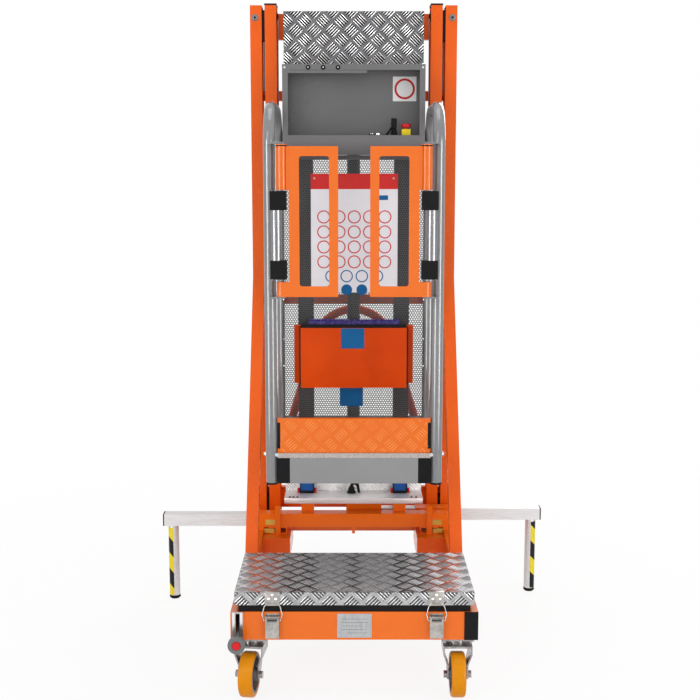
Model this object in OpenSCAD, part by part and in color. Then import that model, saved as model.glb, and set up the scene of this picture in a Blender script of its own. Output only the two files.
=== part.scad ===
// Aerial work platform with a two-stage mast, an entry step with a battery tray
// below it, a one-person basket and two sliding outriggers.
// Millimetres. The front faces -Y, the ground is at z = 0, and the origin lies
// under the middle of the machine in plan.
// Places from front to back are given as distances behind the front beam's face.

/* [Base] */
// Width over the side rails
base_w = 680; // [660:1:760]
// Length of the side rails
base_l = 1040; // [1030:1:1150]
// Height of the rails' underside above the ground
ride_h = 164; // [160:1:190]
// Height of a side rail
rail_h = 80; // [74:1:100]
// Depth of the front beam from front to back
beam_l = 40; // [30:1:60]
// Wall of the frame tubes
tube_wall = 3; // [2:0.5:4]
// Height of the closed sections over the rear wheels
block_h = 67; // [50:1:72]
// Front face of those sections, behind the front beam's face
block_front = 705; // [690:1:740]

/* [Step lid] */
// Width of the lid
lid_w = 657; // [620:1:670]
// Length of the lid from front to back
lid_l = 342; // [320:1:345]
// Height of the lid's turned-down edge
lid_edge = 37; // [25:1:45]
// Height of the rubber seal under the lid
seal_h = 19; // [12:1:24]
// Thickness of the tread plate sheets
tread_t = 3; // [2:0.5:4]
// Distance of each latch from the centre
latch_x = 225; // [180:1:240]
// Width of a latch lever
latch_w = 37; // [32:1:42]

/* [Casters] */
// Diameter of the wheels
wheel_d = 125; // [110:1:126]
// Width of the tyres
tyre_w = 40; // [32:1:42]
// Diameter of the wheel axles
axle_d = 12; // [10:1:14]
// Distance of each caster's upright axis from the centre
caster_x = 285; // [275:1:290]
// Distance of that axis behind the front beam's face
caster_y = 45; // [45:1:60]
// Trail of the casters
trail = 40; // [34:1:44]
// Angle at which the left caster stands turned
caster_turn = 8; // [0:1:30]
// Distance of each rear wheel from the centre
rear_wheel_x = 256; // [254:1:258]
// Distance of the rear axle behind the front beam's face
rear_wheel_y = 850; // [800:1:860]

/* [Outriggers] */
// Span over the ends of the pushed-out outriggers
span_w = 1282; // [1260:1:1500]
// Side of the square outrigger arms
arm_w = 40; // [36:1:44]
// Underside of the arms above the ground
arm_z = 257; // [254:1:275]
// Distance of the left arm's axis behind the front beam's face
arm_y = 780; // [770:1:786]
// Distance from the left arm's axis back to the right arm's axis
arm_step = 72; // [64:1:80]
// Diameter of the legs
leg_d = 35; // [30:1:38]
// Distance of a leg's axis from the end of its arm
leg_inset = 33; // [26:1:45]
// Travel of an arm when it is pushed in
arm_travel = 240; // [200:1:240]

/* [Mast] */
// Distance of the mast's front behind the front beam's face
mast_y = 905; // [903:1:915]
// Width of a mast column seen from the front
column_w = 38; // [34:1:40]
// Depth of a mast column from front to back
column_l = 80; // [76:1:88]
// Wall of the mast columns
column_wall = 4; // [3:0.5:5]
// Gap between an outer and an inner column
column_gap = 10; // [8:0.5:14]
// Height of the outer mast's top above the ground
mast_top = 1975; // [1940:1:2100]
// Lift of each of the two stages
stage_lift = 1100; // [800:1:1100]
// Diameter of the lift cylinder's barrel
barrel_d = 44; // [40:1:45]
// Diameter of the lift cylinder's rod
rod_d = 24; // [18:1:26]
// Radius of the rope's path round the pulleys
pulley_r = 23; // [22:0.5:24]
// Diameter of the lift ropes
rope_d = 4; // [3:0.5:5]
// Height where the side braces meet the mast
brace_top = 1085; // [900:1:1300]
// Distance of the braces' feet behind the front beam's face
brace_foot = 470; // [400:1:600]
// Depth of the brace tubes
brace_d = 40; // [30:1:50]
// Height of the push handle
handle_h = 975; // [900:1:1100]
// Radius of the push handle's bend
handle_r = 135; // [110:1:160]
// Diameter of the push handle's tube
handle_d = 30; // [25:1:32]

/* [Basket] */
// Width over the basket's side hoops
basket_w = 528; // [520:1:540]
// Front of the hoops, behind the front beam's face
basket_y = 354.5; // [350:0.5:380]
// Length over the hoops from front to back
basket_l = 445.5; // [400:0.5:450]
// Diameter of the hoop tube
hoop_d = 35; // [30:1:38]
// Wall of the hoop tube
hoop_wall = 2; // [1.5:0.5:3]
// Radius of the hoops' bends
hoop_bend = 120; // [100:1:160]
// Height of the hoops' tops above the ground
hoop_top = 1643; // [1630:1:1800]
// Lower ends of the hoops above the ground
hoop_foot = 513; // [480:1:530]
// Height of the floor above the ground
floor_z = 605; // [600:1:640]
// Height of the toe board
toe_h = 104; // [80:1:150]
// Height of the mesh panel's top above the ground
mesh_top = 1489; // [1400:1:1489]

/* [Gates] */
// Distance of each gate's hinge axis from the centre
gate_x = 209; // [206:1:210]
// Distance of the hinge axis behind the front beam's face
gate_y = 338; // [336:1:338]
// Width of a gate plate
gate_w = 142; // [120:1:144]
// Height of a gate plate
gate_h = 432; // [400:1:432]
// Lower edge of the gates above the ground
gate_z = 1077; // [1070:1:1080]
// Length of the sprung hinge barrels
barrel_h = 130; // [110:1:132]
// Diameter of the sprung hinge barrels
hinge_d = 33; // [28:1:34]
// Diameter of the hinge pins
hinge_pin_d = 16; // [10:1:18]

/* [Control box] */
// Width of the control box
box_w = 456; // [400:1:457]
// Height of the control box
box_h = 284; // [250:1:300]
// Depth of the control box
box_l = 108; // [90:1:120]
// Height of the wall in front of the controls
box_lip = 62; // [50:1:70]
// Width of the turned edge round the box's mouth
box_edge = 18; // [12:1:24]
// Thickness of the sheet metal
sheet_t = 2; // [1.5:0.5:3]
// Height of the tread plate above the box
top_plate_h = 176; // [150:1:180]

/* [Document pocket] */
// Width of the document pocket
pocket_w = 348; // [300:1:380]
// Height of the document pocket
pocket_h = 199; // [150:1:240]
// Depth of the document pocket
pocket_l = 50; // [30:1:60]
// Lower edge of the document pocket above the ground
pocket_z = 731; // [720:1:760]

/* [Fits] */
// Running clearance of a pin in its bore, on the radius
fit = 0.1; // [0.05:0.01:0.1]
// Gap between faces that slide or lie on each other
seat = 0.3; // [0.2:0.05:0.4]

/* [Hidden] */
$fn = 48;
past = 1;
orange = [0.86, 0.30, 0.07];
red_orange = [0.80, 0.22, 0.05];
grey = [0.50, 0.51, 0.52];
dark_grey = [0.38, 0.39, 0.40];
black = [0.06, 0.06, 0.06];
zinc = [0.72, 0.72, 0.72];
tread = [0.80, 0.81, 0.82];
alloy = [0.82, 0.82, 0.83];
amber = [0.85, 0.55, 0.08];
blue = [0.05, 0.25, 0.60];
red = [0.78, 0.05, 0.05];
nylon = [0.10, 0.10, 0.10];

// Base
rail_out = base_w / 2;
rail_in = rail_out - column_w;
deck_z = ride_h + rail_h;
lid_z = deck_z + seal_h;
lid_top = lid_z + lid_edge;
tray_l = lid_l + tread_t;
block_in = 211;
block_top = ride_h + block_h;
member_z = deck_z - 54;
cross_wall = 2.5;
guide_h = arm_w + 2 * (cross_wall + 0.5);
guide_z = arm_z + arm_w / 2 - guide_h / 2;
guide_top = guide_z + guide_h;
cover_y = 790;
cover_z = guide_top + 45;
post_in = 134;
post_w = 42;
buffer_h = 40;

// Lid hinge and latches
hinge_y = lid_l + 5;
hinge_z = deck_z + 10;
knuckle_r = 5;
knuckle_x = 200;
knuckle_w = 40;
leaf_pin_r = 2.5;
latch_y = -10;
latch_z = deck_z - 12;
latch_low = 58;
ear_r = 3.3;
bail_y = -1;
bail_z = -9;
bail_r = 1.5;
bail_lean = 7.7;
bail_h = 45;

// Brake lever
lever_x = rail_out - column_w / 2 - 1;
lever_y = 110;
lever_z = deck_z - 39;
lever_t = 8;
lever_h = 12;
grip_r = 24;
grip_y = -54;
grip_t = 16;
grip_z = ride_h + 3;

// Casters
wheel_r = wheel_d / 2;
fork_in = tyre_w / 2 + 5;
fork_t = 4;
fork_flare = 11;
flare_z = 28;
plate_t = 5;
crown_z = ride_h - 18;
nut_r = 11;
nut_w = 9;
king_r = 6;

// Mast, right side: columns run from the given x outwards
outer_x = rail_out - column_w;
inner_out = outer_x - column_gap;
inner_x = inner_out - column_w;
mast_back = mast_y + column_l;
inner_play = 1;
inner_y = mast_y + inner_play;
inner_back = mast_back - inner_play;
inner_foot = deck_z + 6;
inner_top = mast_top + 1;
inner_depth = inner_back - inner_y - 2 * column_wall;
member_l = 24;
member_h = 33;
anchor_z = mast_top - 275;
pulley_z = mast_top - 31;
rope_out = outer_x - column_gap / 2;
pulley_x = rope_out - pulley_r;
rope_in = pulley_x - pulley_r;
rope_y = mast_y + column_l / 2;
pulley_w = 14;
pulley_rim = pulley_r + 2;
pulley_pin_r = 5;
cylinder_y = mast_y + 45;
barrel_wall = 5;
barrel_top = 1500;
crossbar_z = mast_top - 105;
crossbar_h = 84;
crossbar_y = rope_y + 11;
rod_top = crossbar_z - 10;
pad_h = 50;
cheek_t = 8;
cheek_out = rope_in - 3.5;
cheek_in = cheek_out - cheek_t;
cheek_top = floor_z;
cheek_foot = cheek_top - 190;

// Brace and push handle
brace_a = atan2(brace_top - deck_z, mast_y - brace_foot);
handle_x = rail_out - handle_d / 2 - 10;
handle_rad = handle_d / 2;
handle_y = mast_back + member_l + seat + handle_rad;
bend_z = handle_h - handle_rad - handle_r;
reach = norm([handle_x, bend_z - deck_z]);
lean = atan2(handle_x, bend_z - deck_z) - asin(handle_r / reach);
leg_l = sqrt(reach * reach - handle_r * handle_r);

// Basket
hoop_r = hoop_d / 2;
hoop_x = basket_w / 2 - hoop_r;
post_y = basket_y + hoop_r;
rear_post_y = basket_y + basket_l - hoop_r;
hoop_crest = hoop_top - hoop_r;
mesh_y = basket_y + basket_l + seat;
inside = hoop_x - hoop_r - 0.5;
upright_y = mesh_y + 59.7;
upright_l = 30;
upright_back = upright_y + upright_l;
upright_w = 52;
beam_depth = 26;
beam_z = floor_z - 60;
beam_top = floor_z - tread_t;
beam_step = 83;
pad_w = 37;
pad_x = inside - pad_w;
panel_lap = 14;
fascia_y = basket_y - 3.5;
toe_y = basket_y + 5.5;
upright_top = 1900;

// Gates and grab handles
gate_front = gate_y - 16;
gate_out = gate_x - 21;
gate_t = 3;
gate_top = gate_z + gate_h;
hinge_top = gate_top + 6;
ring_h = 43;
bracket_t = 6;
window_r = 8;
grab_x = gate_x + 16;
grab_y = gate_y - 3;
grab_r = 16;
grab_z = gate_z + 51;
grab_block = 54.5;
grab_h = 254;

// Control box
box_z = mesh_top + 1;
box_y = upright_y - box_l;
box_top = box_z + box_h;
shelf_z = box_z + 36;
stop_x = 169;
stick_x = 130;
button_x = 78;
lamp_x = 58;
control_y = box_y + 38;
stop_h = 46;
socket_h = 20;

// The plan's middle lies at the origin
turned_tread = (trail + wheel_r) * cos(caster_turn) + (tyre_w / 2 - 7) * sin(caster_turn);
turned_edge = (trail + wheel_r - 2) * cos(caster_turn) + (tyre_w / 2 - 2) * sin(caster_turn);
front_out = max(trail + wheel_r - caster_y, turned_tread - caster_y, turned_edge - caster_y, -grip_y);
plan_mid = (base_l - front_out) / 2;

// Puts a piece, drawn with y behind the front beam's face, in its place and colour
module part(tint) {
  color(tint)
    translate([0, -plan_mid, 0])
      children();
}

// A piece and its mirror image on the other side of the machine
module pair() {
  children();
  mirror([1, 0, 0]) children();
}

// A block between two corners
module span(lo, hi) {
  translate(lo) cube(hi - lo);
}

// A rectangular tube between two corners, open at both ends of one direction
module tube(lo, hi, along, wall = tube_wall) {
  inset = [for (i = [0:2]) i == along ? -past : wall];
  difference() {
    span(lo, hi);
    span(lo + inset, hi - inset);
  }
}

// An outline in y and z, drawn as a plate between two x positions
module side_plate(x0, x1) {
  translate([x0, 0, 0])
    rotate([90, 0, 90])
      linear_extrude(x1 - x0)
        children();
}

// A round bar along x between two positions
module bar_x(x0, x1, y, z, r) {
  translate([x0, y, z])
    rotate([0, 90, 0])
      cylinder(h = x1 - x0, r = r);
}

// A round bar along y
module bar_y(x, y0, y1, z, r) {
  translate([x, y0, z])
    rotate([-90, 0, 0])
      cylinder(h = y1 - y0, r = r);
}

// A round bar along z
module bar_z(x, y, z0, z1, r) {
  translate([x, y, z0])
    cylinder(h = z1 - z0, r = r);
}

// A round bar between any two points
module bar(a, b, r) {
  v = b - a;
  translate(a)
    rotate([0, acos(v[2] / norm(v)), atan2(v[1], v[0])])
      cylinder(h = norm(v), r = r);
}

// A mast column whose open side faces the middle of the machine
module column(x, y0, y1, z0, z1) {
  difference() {
    span([x, y0, z0], [x + column_w, y1, z1]);
    span([x - past, y0 + column_wall, z0 - past],
         [x + column_w - column_wall, y1 - column_wall, z1 + past]);
  }
}

// Base

// The welded base: rails, front beam, battery tray, rear member and hinge lugs
module chassis_frame() {
  part(orange) {
    pair() tube([rail_in, 0, ride_h], [rail_out, base_l, deck_z], 1);
    tube([-rail_in, 0, ride_h], [rail_in, beam_l, deck_z], 0);
    span([-rail_in, beam_l, ride_h], [rail_in, tray_l, ride_h + tube_wall]);
    span([-rail_in, lid_l, ride_h], [rail_in, tray_l, deck_z]);
    span([-rail_in, lid_l - 20, deck_z - tube_wall], [rail_in, lid_l, deck_z]);
    tube([-rail_in, mast_y + 20, member_z], [rail_in, mast_back - 4, deck_z], 0);
    pair() tube([block_in, block_front, ride_h], [rail_in, mast_y + 20, block_top], 1);
    pair() lid_lugs();
    bar_x(-rail_out + tube_wall / 2, -rail_in - tube_wall / 2, lever_y, lever_z, pulley_pin_r);
  }
}

// Two lugs and a pin that a hinge of the lid turns on
module lid_lugs() {
  for (x = [knuckle_x - knuckle_w / 2 - 20, knuckle_x + knuckle_w / 2 + seat]) {
    difference() {
      union() {
        bar_x(x, x + 20 - seat, hinge_y, hinge_z, knuckle_r);
        span([x, lid_l, deck_z], [x + 20 - seat, hinge_y, hinge_z]);
      }
      span([x - past, lid_l - knuckle_r, hinge_z], [x + 20, lid_l, hinge_z + knuckle_r]);
    }
  }
  bar_x(knuckle_x - knuckle_w / 2 - 10, knuckle_x + knuckle_w / 2 + 10, hinge_y, hinge_z, leaf_pin_r);
}

// The cross tube of the left arm, the sleeves of the right arm and what carries them
module arm_guides() {
  front = arm_y - guide_h / 2;
  back = front + arm_step;
  part(orange) {
    tube([-rail_out, front, guide_z], [rail_out, front + guide_h, guide_top], 0, cross_wall);
    tube([block_in, back, guide_z], [rail_out, back + guide_h, guide_top], 0, cross_wall);
    tube([-25, back, guide_z], [95, back + guide_h, guide_top], 0, cross_wall);
    span([-25, front + guide_h, guide_z], [95, back, guide_z + cross_wall]);
    pair() span([rail_in, front, deck_z], [rail_out, back + guide_h, guide_z]);
    pair() tube([block_in + 14, front, block_top], [rail_in - 17, back + guide_h, guide_z], 1);
    pair() span([245, front - 8, block_top], [263, front, guide_top + 29]);
    pair() tube([post_in, cover_y + tread_t + seat, guide_top],
                [post_in + post_w, upright_y + 35, cover_z - tread_t], 2);
    tube([-25, back, guide_top], [95, back + guide_h, cover_z - tread_t], 2);
    eye();
  }
}

// The tie-down eye under the cross tube
module eye() {
  span([-12, arm_y - 12, guide_z - 4], [12, arm_y + 12, guide_z]);
  difference() {
    side_outline_eye();
    bar_x(-10, 10, arm_y, guide_z - 18, 5);
  }
}

module side_outline_eye() {
  side_plate(-5, 5)
    union() {
      translate([arm_y, guide_z - 18]) circle(11);
      translate([arm_y - 11, guide_z - 18]) square([22, 16]);
    }
}

// Tread plate at the foot of the mast
module base_cover() {
  back = upright_y + 38;
  part(tread) {
    pair() span([0, cover_y, cover_z - tread_t], [234, back, cover_z]);
    span([-234, back - tread_t, cover_z], [234, back, cover_z + 55]);
    span([-234, cover_y, cover_z - 17], [234, cover_y + tread_t, cover_z]);
  }
}

// Blocks that the carriage's uprights come down on
module buffers() {
  part(blue)
    pair() span([post_in + 5, upright_y - 3, cover_z], [post_in + 5 + post_w, upright_y + 33, cover_z + buffer_h]);
}

// Seal under the lid and the pad on the right rail's end
module rubber_trim() {
  part(black) {
    difference() {
      span([-rail_out + 22, 4, deck_z], [rail_out - 22, lid_l - 4, lid_z - seat]);
      span([-rail_out + 30, 12, deck_z - past], [rail_out - 30, lid_l - 12, lid_z]);
    }
    span([rail_in, -tread_t, ride_h], [rail_out, 0, deck_z]);
  }
}

// Two batteries with their terminals
module battery_pack() {
  part(black)
    for (x = [-285, -155])
      translate([x, 65, ride_h + tube_wall]) {
        cube([120, 180, deck_z - ride_h - 8]);
        for (px = [25, 95])
          translate([px, 25, deck_z - ride_h - 8]) cylinder(h = 14, r = 7);
      }
}

// Oil tank, pump block and motor of the lift
module power_unit() {
  z = ride_h + tube_wall;
  part(dark_grey) {
    span([10, 65, z], [130, 295, z + 70]);
    span([130, 85, z], [165, 175, z + 85]);
    bar_x(165, 285, 130, z + 40 + seat, 40);
    bar_z(70, 250, z + 70, z + 84, 16);
  }
}

// Zinc plated fittings on the front: slotted guide of the lever, and latch bases
module front_fittings() {
  part(zinc) {
    difference() {
      span([-rail_out, -2, ride_h + 2], [-rail_in, 0, deck_z]);
      span([-lever_x - lever_t / 2 - 1.5, -2 - past, ride_h + 4], [-lever_x + lever_t / 2 + 1.5, past, deck_z - 5]);
    }
    pair() latch_base();
  }
}

// Base plate of a latch with two ears and a pin
module latch_base() {
  span([latch_x - latch_w / 2, -2, ride_h + 14], [latch_x + latch_w / 2, 0, deck_z - 4]);
  for (x = [latch_x - 11, latch_x + 9])
    side_plate(x, x + 2)
      union() {
        translate([latch_y, latch_z]) circle(ear_r);
        translate([latch_y, latch_z - ear_r]) square([-latch_y - 2, 2 * ear_r]);
      }
  bar_x(latch_x - latch_w / 2 - 2, latch_x + latch_w / 2 + 2, latch_y, latch_z, 2);
}

// Folded lever of a latch
module latch_lever() {
  x0 = latch_x - latch_w / 2;
  x1 = latch_x + latch_w / 2;
  difference() {
    union() {
      span([x0, latch_y - 6, latch_z - latch_low], [x1, latch_y - 4, latch_z]);
      for (x = [x0, x1 - 2])
        span([x, latch_y - 4, latch_z - 20], [x + 2, latch_y + 3, latch_z + 4]);
    }
    bar_x(x0 - past, x1 + past, latch_y, latch_z, 2 + fit);
    bar_x(x0 - past, x1 + past, latch_y + bail_y, latch_z + bail_z, bail_r + fit);
  }
}

// Wire bail of a latch, from one lever side over the lid's edge to the other
function bail_point(x, rise) =
  [latch_x + x, latch_y + bail_y + bail_lean * rise / bail_h, latch_z + bail_z + rise];

module latch_bail() {
  ends = latch_w / 2;
  path = [
    bail_point(ends - 3, 0), bail_point(ends + 4, 0), bail_point(ends + 9, 16),
    bail_point(ends + 3, 38), bail_point(14, bail_h)
  ];
  other = [for (p = path) [2 * latch_x - p[0], p[1], p[2]]];
  for (side = [path, other])
    for (i = [0:len(side) - 2]) {
      bar(side[i], side[i + 1], bail_r);
      translate(side[i + 1]) sphere(bail_r + 0.25);
    }
  bar(path[len(path) - 1], other[len(path) - 1], bail_r);
}

// Lever in the left rail with its round grip
module brake_lever() {
  tip_y = grip_y + grip_t;
  part(grey)
    difference() {
      union() {
        side_plate(-lever_x - lever_t / 2, -lever_x + lever_t / 2)
          union() {
            translate([lever_y, lever_z]) circle(13);
            polygon([
              [lever_y, lever_z - 8],
              [lever_y, lever_z + 8],
              [tip_y - 2, grip_z + lever_h / 2],
              [tip_y - 2, grip_z - lever_h / 2]
            ]);
          }
        lever_grip();
      }
      bar_x(-rail_out, -rail_in, lever_y, lever_z, pulley_pin_r + fit);
    }
}

module lever_grip() {
  translate([-lever_x, grip_y, grip_z])
    rotate([-90, 0, 0])
      rotate_extrude()
        polygon([
          [0, 2], [12, 2], [13, 0], [grip_r - 3, 0], [grip_r, 3],
          [grip_r, grip_t - 3], [grip_r - 3, grip_t], [0, grip_t]
        ]);
}

// The step lid of tread plate, turned down on four sides, with its hinge knuckles
module lid() {
  part(tread) {
    difference() {
      span([-lid_w / 2, 0, lid_z], [lid_w / 2, lid_l, lid_top]);
      span([-lid_w / 2 + tread_t, tread_t, lid_z - past], [lid_w / 2 - tread_t, lid_l - tread_t, lid_top - tread_t]);
    }
    pair() difference() {
      union() {
        span([knuckle_x - knuckle_w / 2, lid_l - tread_t, hinge_z + 2], [knuckle_x + knuckle_w / 2, hinge_y + 1, lid_z + 4]);
        bar_x(knuckle_x - knuckle_w / 2, knuckle_x + knuckle_w / 2, hinge_y, hinge_z, knuckle_r);
      }
      bar_x(knuckle_x - knuckle_w, knuckle_x + knuckle_w, hinge_y, hinge_z, leaf_pin_r + fit);
    }
  }
}

// Casters

// Mounting plates of the front casters with their kingpins
module caster_plates() {
  part(zinc)
    pair() {
      span([caster_x - 45, caster_y - 45, ride_h - plate_t], [caster_x + 45, caster_y + 45, ride_h]);
      bar_z(caster_x, caster_y, crown_z - 6 - seat, ride_h - plate_t, king_r);
      bar_z(caster_x, caster_y, crown_z - 14, crown_z - 6 - seat, nut_r);
    }
}

// One pressed side of a fork: its bent section, cut to its outline in y and z
module fork_side(offset) {
  foot = wheel_r + flare_z;
  wide = fork_in + fork_flare;
  intersection() {
    translate([0, 60, 0])
      rotate([90, 0, 0])
        linear_extrude(160)
          polygon([
            [fork_in, wheel_r - 16], [fork_in + fork_t, wheel_r - 16],
            [fork_in + fork_t, foot], [wide + fork_t, foot + 30], [wide + fork_t, crown_z],
            [wide, crown_z], [wide, foot + 31], [fork_in, foot + 1]
          ]);
    side_plate(fork_in - past, wide + fork_t + past)
      union() {
        translate([-offset, wheel_r]) circle(14);
        polygon([
          [24, crown_z], [24, crown_z - 22], [-offset + 12, wheel_r - 7],
          [-offset - 13, wheel_r - 3], [-offset - 10, crown_z]
        ]);
      }
  }
}

// Both sides of a fork, drawn round an upright axis at the origin, with the axle
module fork_sides(offset) {
  pair() fork_side(offset);
  bar_x(-fork_in - fork_t - 2, fork_in + fork_t + 2, -offset, wheel_r, axle_d / 2);
  for (x = [-fork_in - fork_t - nut_w, fork_in + fork_t])
    translate([x, -offset, wheel_r])
      rotate([0, 90, 0])
        cylinder(h = nut_w, r = nut_r, $fn = 6);
}

module fork_crown(offset) {
  wide = fork_in + fork_flare + fork_t;
  span([-wide, -offset - 10, crown_z - 6], [wide, 24, crown_z]);
}

module caster_fork() {
  difference() {
    union() {
      fork_sides(trail);
      bar_z(0, 0, crown_z - 6, ride_h - plate_t - seat, 28);
      fork_crown(trail);
    }
    bar_z(0, 0, crown_z - 6 - past, ride_h, king_r + fit);
  }
}

// Puts a front caster's piece, drawn about its upright axis, under its plate
module at_caster(side) {
  translate([side * caster_x, caster_y, 0])
    rotate([0, 0, side < 0 ? -caster_turn : 0])
      children();
}

// Rim, web and hub of a wheel, turned about the axle
module wheel_core() {
  rim = wheel_r - 12.5;
  half = tyre_w / 2 - 1;
  translate([0, -trail, wheel_r])
    rotate([0, 90, 0])
      rotate_extrude()
        polygon([
          [axle_d / 2 + fit, -fork_in + 1], [17, -fork_in + 1], [19, -5], [rim - 9, -5],
          [rim - 6, -half], [rim, -half], [rim, half], [rim - 6, half],
          [rim - 9, 5], [19, 5], [17, fork_in - 1], [axle_d / 2 + fit, fork_in - 1]
        ]);
}

module tyre() {
  rim = wheel_r - 12.5;
  half = tyre_w / 2;
  translate([0, -trail, wheel_r])
    rotate([0, 90, 0])
      rotate_extrude($fn = 64)
        polygon([
          [rim, -half + 1], [wheel_r - 6, -half], [wheel_r - 2, -half + 2], [wheel_r, -half + 7],
          [wheel_r, half - 7], [wheel_r - 2, half - 2], [wheel_r - 6, half], [rim, half - 1]
        ]);
}

// Fixed forks of the rear wheels
module rear_forks() {
  part(zinc)
    pair()
      translate([rear_wheel_x, rear_wheel_y, 0]) {
        fork_sides(0);
        fork_crown(0);
        span([-45, -45, ride_h - plate_t], [45, 45, ride_h]);
        bar_z(0, 6, crown_z, ride_h - plate_t, 20);
      }
}

module rear_wheel() {
  half = tyre_w / 2;
  translate([rear_wheel_x, rear_wheel_y, wheel_r])
    rotate([0, 90, 0])
      rotate_extrude($fn = 64)
        polygon([
          [axle_d / 2 + fit, -fork_in + 1], [18, -fork_in + 1], [20, -6], [wheel_r - 22, -6],
          [wheel_r - 16, -half], [wheel_r - 6, -half], [wheel_r - 2, -half + 2], [wheel_r, -half + 7],
          [wheel_r, half - 7], [wheel_r - 2, half - 2], [wheel_r - 6, half], [wheel_r - 16, half],
          [wheel_r - 22, 6], [20, 6], [18, fork_in - 1], [axle_d / 2 + fit, fork_in - 1]
        ]);
}

// Outriggers

// Arm with its leg, for the right side; the arm's axis lies at the given y
module outrigger_arm(y) {
  part(alloy) {
    tube([-20, y - arm_w / 2, arm_z], [span_w / 2 - 4, y + arm_w / 2, arm_z + arm_w], 0);
    difference() {
      bar_z(span_w / 2 - leg_inset, y, 12, arm_z + 2, leg_d / 2);
      bar_z(span_w / 2 - leg_inset, y, 12 - past, arm_z - past, leg_d / 2 - 2.5);
    }
  }
}

// End cap of the arm and foot of the leg
module outrigger_ends(y) {
  part(black) {
    span([span_w / 2 - 4, y - arm_w / 2, arm_z], [span_w / 2, y + arm_w / 2, arm_z + arm_w]);
    translate([span_w / 2 - leg_inset, y, 0])
      rotate_extrude()
        polygon([
          [0, 0], [leg_d / 2 - 3, 0], [leg_d / 2 + 1, 4], [leg_d / 2 + 1, 10], [leg_d / 2, 12], [0, 12]
        ]);
  }
}

// Mast

// Outer columns with their top plates
module mast_outer() {
  part(orange) {
    pair() column(outer_x, mast_y, mast_back, deck_z, mast_top);
    pair() span([outer_x, mast_y, mast_top - 3], [rail_out, mast_back, mast_top]);
  }
}

// Cross members behind the columns, with the two rope anchors on the upper one
module mast_members() {
  part(orange) {
    for (z = [deck_z + 56, 983, anchor_z - 28])
      tube([-rail_out, mast_back, z], [rail_out, mast_back + member_l, z + member_h], 0);
    pair() span([rope_out - 3.5, rope_y - 6, anchor_z - 12], [rope_out + 3.5, mast_back + past, anchor_z]);
  }
}

// Braces from the mast down and forward to the rails
function brace_outline(near, far, ext) = [
  [brace_foot + near / sin(brace_a) - ext * cos(brace_a), deck_z - ext * sin(brace_a)],
  [mast_y + ext * cos(brace_a), brace_top - near / cos(brace_a) + ext * sin(brace_a)],
  [mast_y + ext * cos(brace_a), brace_top - far / cos(brace_a) + ext * sin(brace_a)],
  [brace_foot + far / sin(brace_a) - ext * cos(brace_a), deck_z - ext * sin(brace_a)]
];

module side_braces() {
  part(orange)
    pair()
      difference() {
        side_plate(rail_in, rail_out)
          polygon(brace_outline(0, brace_d, 0));
        side_plate(rail_in + tube_wall, rail_out - tube_wall)
          polygon(brace_outline(tube_wall, brace_d - tube_wall, 5));
      }
}

// Push handle of one bent tube that stands on the rails' rear ends
module push_handle() {
  part(orange)
    difference() {
      translate([0, handle_y, 0]) {
        pair()
          translate([handle_x, 0, deck_z])
            rotate([0, -lean, 0])
              translate([0, 0, -handle_rad]) cylinder(h = leg_l + handle_rad + 2, r = handle_rad - 0.2);
        translate([0, 0, bend_z])
          rotate([90, 0, 0])
            rotate([0, 0, lean])
              rotate_extrude(angle = 180 - 2 * lean)
                translate([handle_r, 0]) circle(handle_rad);
      }
      span([-rail_out - 50, handle_y - 40, 0], [rail_out + 50, handle_y + 40, deck_z]);
    }
}

// Slide pads at the top of the outer columns, in front of and behind the rope
module mast_pads() {
  part(nylon)
    pair() {
      span([inner_out + seat, mast_y + column_wall, mast_top - 110],
           [rail_out - column_wall, rope_y - 9, mast_top - 15]);
      span([inner_out + seat, rope_y + 9, mast_top - 110],
           [rail_out - column_wall, mast_back - column_wall, mast_top - 15]);
    }
}

// Rope runs from the outer mast's anchors up to the pulleys
module rope_anchor_runs() {
  part(zinc)
    pair() bar_z(rope_out, rope_y, anchor_z, pulley_z, rope_d / 2);
}

// Rope runs from the pulleys down to the carriage
module rope_carriage_runs() {
  part(zinc)
    pair() bar_z(rope_in, rope_y, cheek_top, pulley_z, rope_d / 2);
}

// Inner columns with the top cross member, the lower tie plate and the pulley pins
module mast_inner() {
  part(orange) {
    pair() difference() {
      column(inner_x, inner_y, inner_back, inner_foot, inner_top);
      span([inner_out - column_wall - past, rope_y - 11, pulley_z - 32],
           [inner_out + past, rope_y + 11, inner_top + past]);
    }
    pair() bar_y(pulley_x, inner_y, inner_back, pulley_z, pulley_pin_r);
    tube([-inner_out + column_wall, crossbar_y, crossbar_z],
         [inner_out - column_wall, inner_back - column_wall, crossbar_z + crossbar_h], 0);
    span([-inner_out + column_wall, inner_back - column_wall - 6.5, inner_foot + 12],
         [inner_out - column_wall, inner_back - column_wall, inner_foot + 72]);
    span([-25, cylinder_y - 20, rod_top], [25, crossbar_y + 14, crossbar_z]);
  }
}

// End caps of the inner columns, and their slide pads that run in the outer ones
module mast_caps() {
  part(black)
    pair() {
      span([inner_x - 1, inner_y - 1, inner_top], [inner_out + 1, inner_back, inner_top + 5]);
      for (z = [inner_foot + 10, inner_foot + 170])
        span([inner_out, mast_y + column_wall + seat, z],
             [rail_out - column_wall - seat, mast_back - column_wall - seat, z + pad_h]);
    }
}

// Lengths of rope that lie on the pulleys
module rope_bends() {
  part(zinc)
    pair()
      translate([pulley_x, rope_y, pulley_z])
        rotate([90, 0, 0])
          rotate_extrude(angle = 180)
            translate([pulley_r, 0]) circle(rope_d / 2);
}

// Barrel of the lift cylinder with its rod guide
module lift_cylinder() {
  part(grey)
    difference() {
      bar_z(0, cylinder_y, deck_z, barrel_top, barrel_d / 2);
      bar_z(0, cylinder_y, deck_z + 30, barrel_top - 20, barrel_d / 2 - barrel_wall);
      bar_z(0, cylinder_y, barrel_top - 20 - past, barrel_top + past, rod_d / 2 + fit);
    }
}

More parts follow.
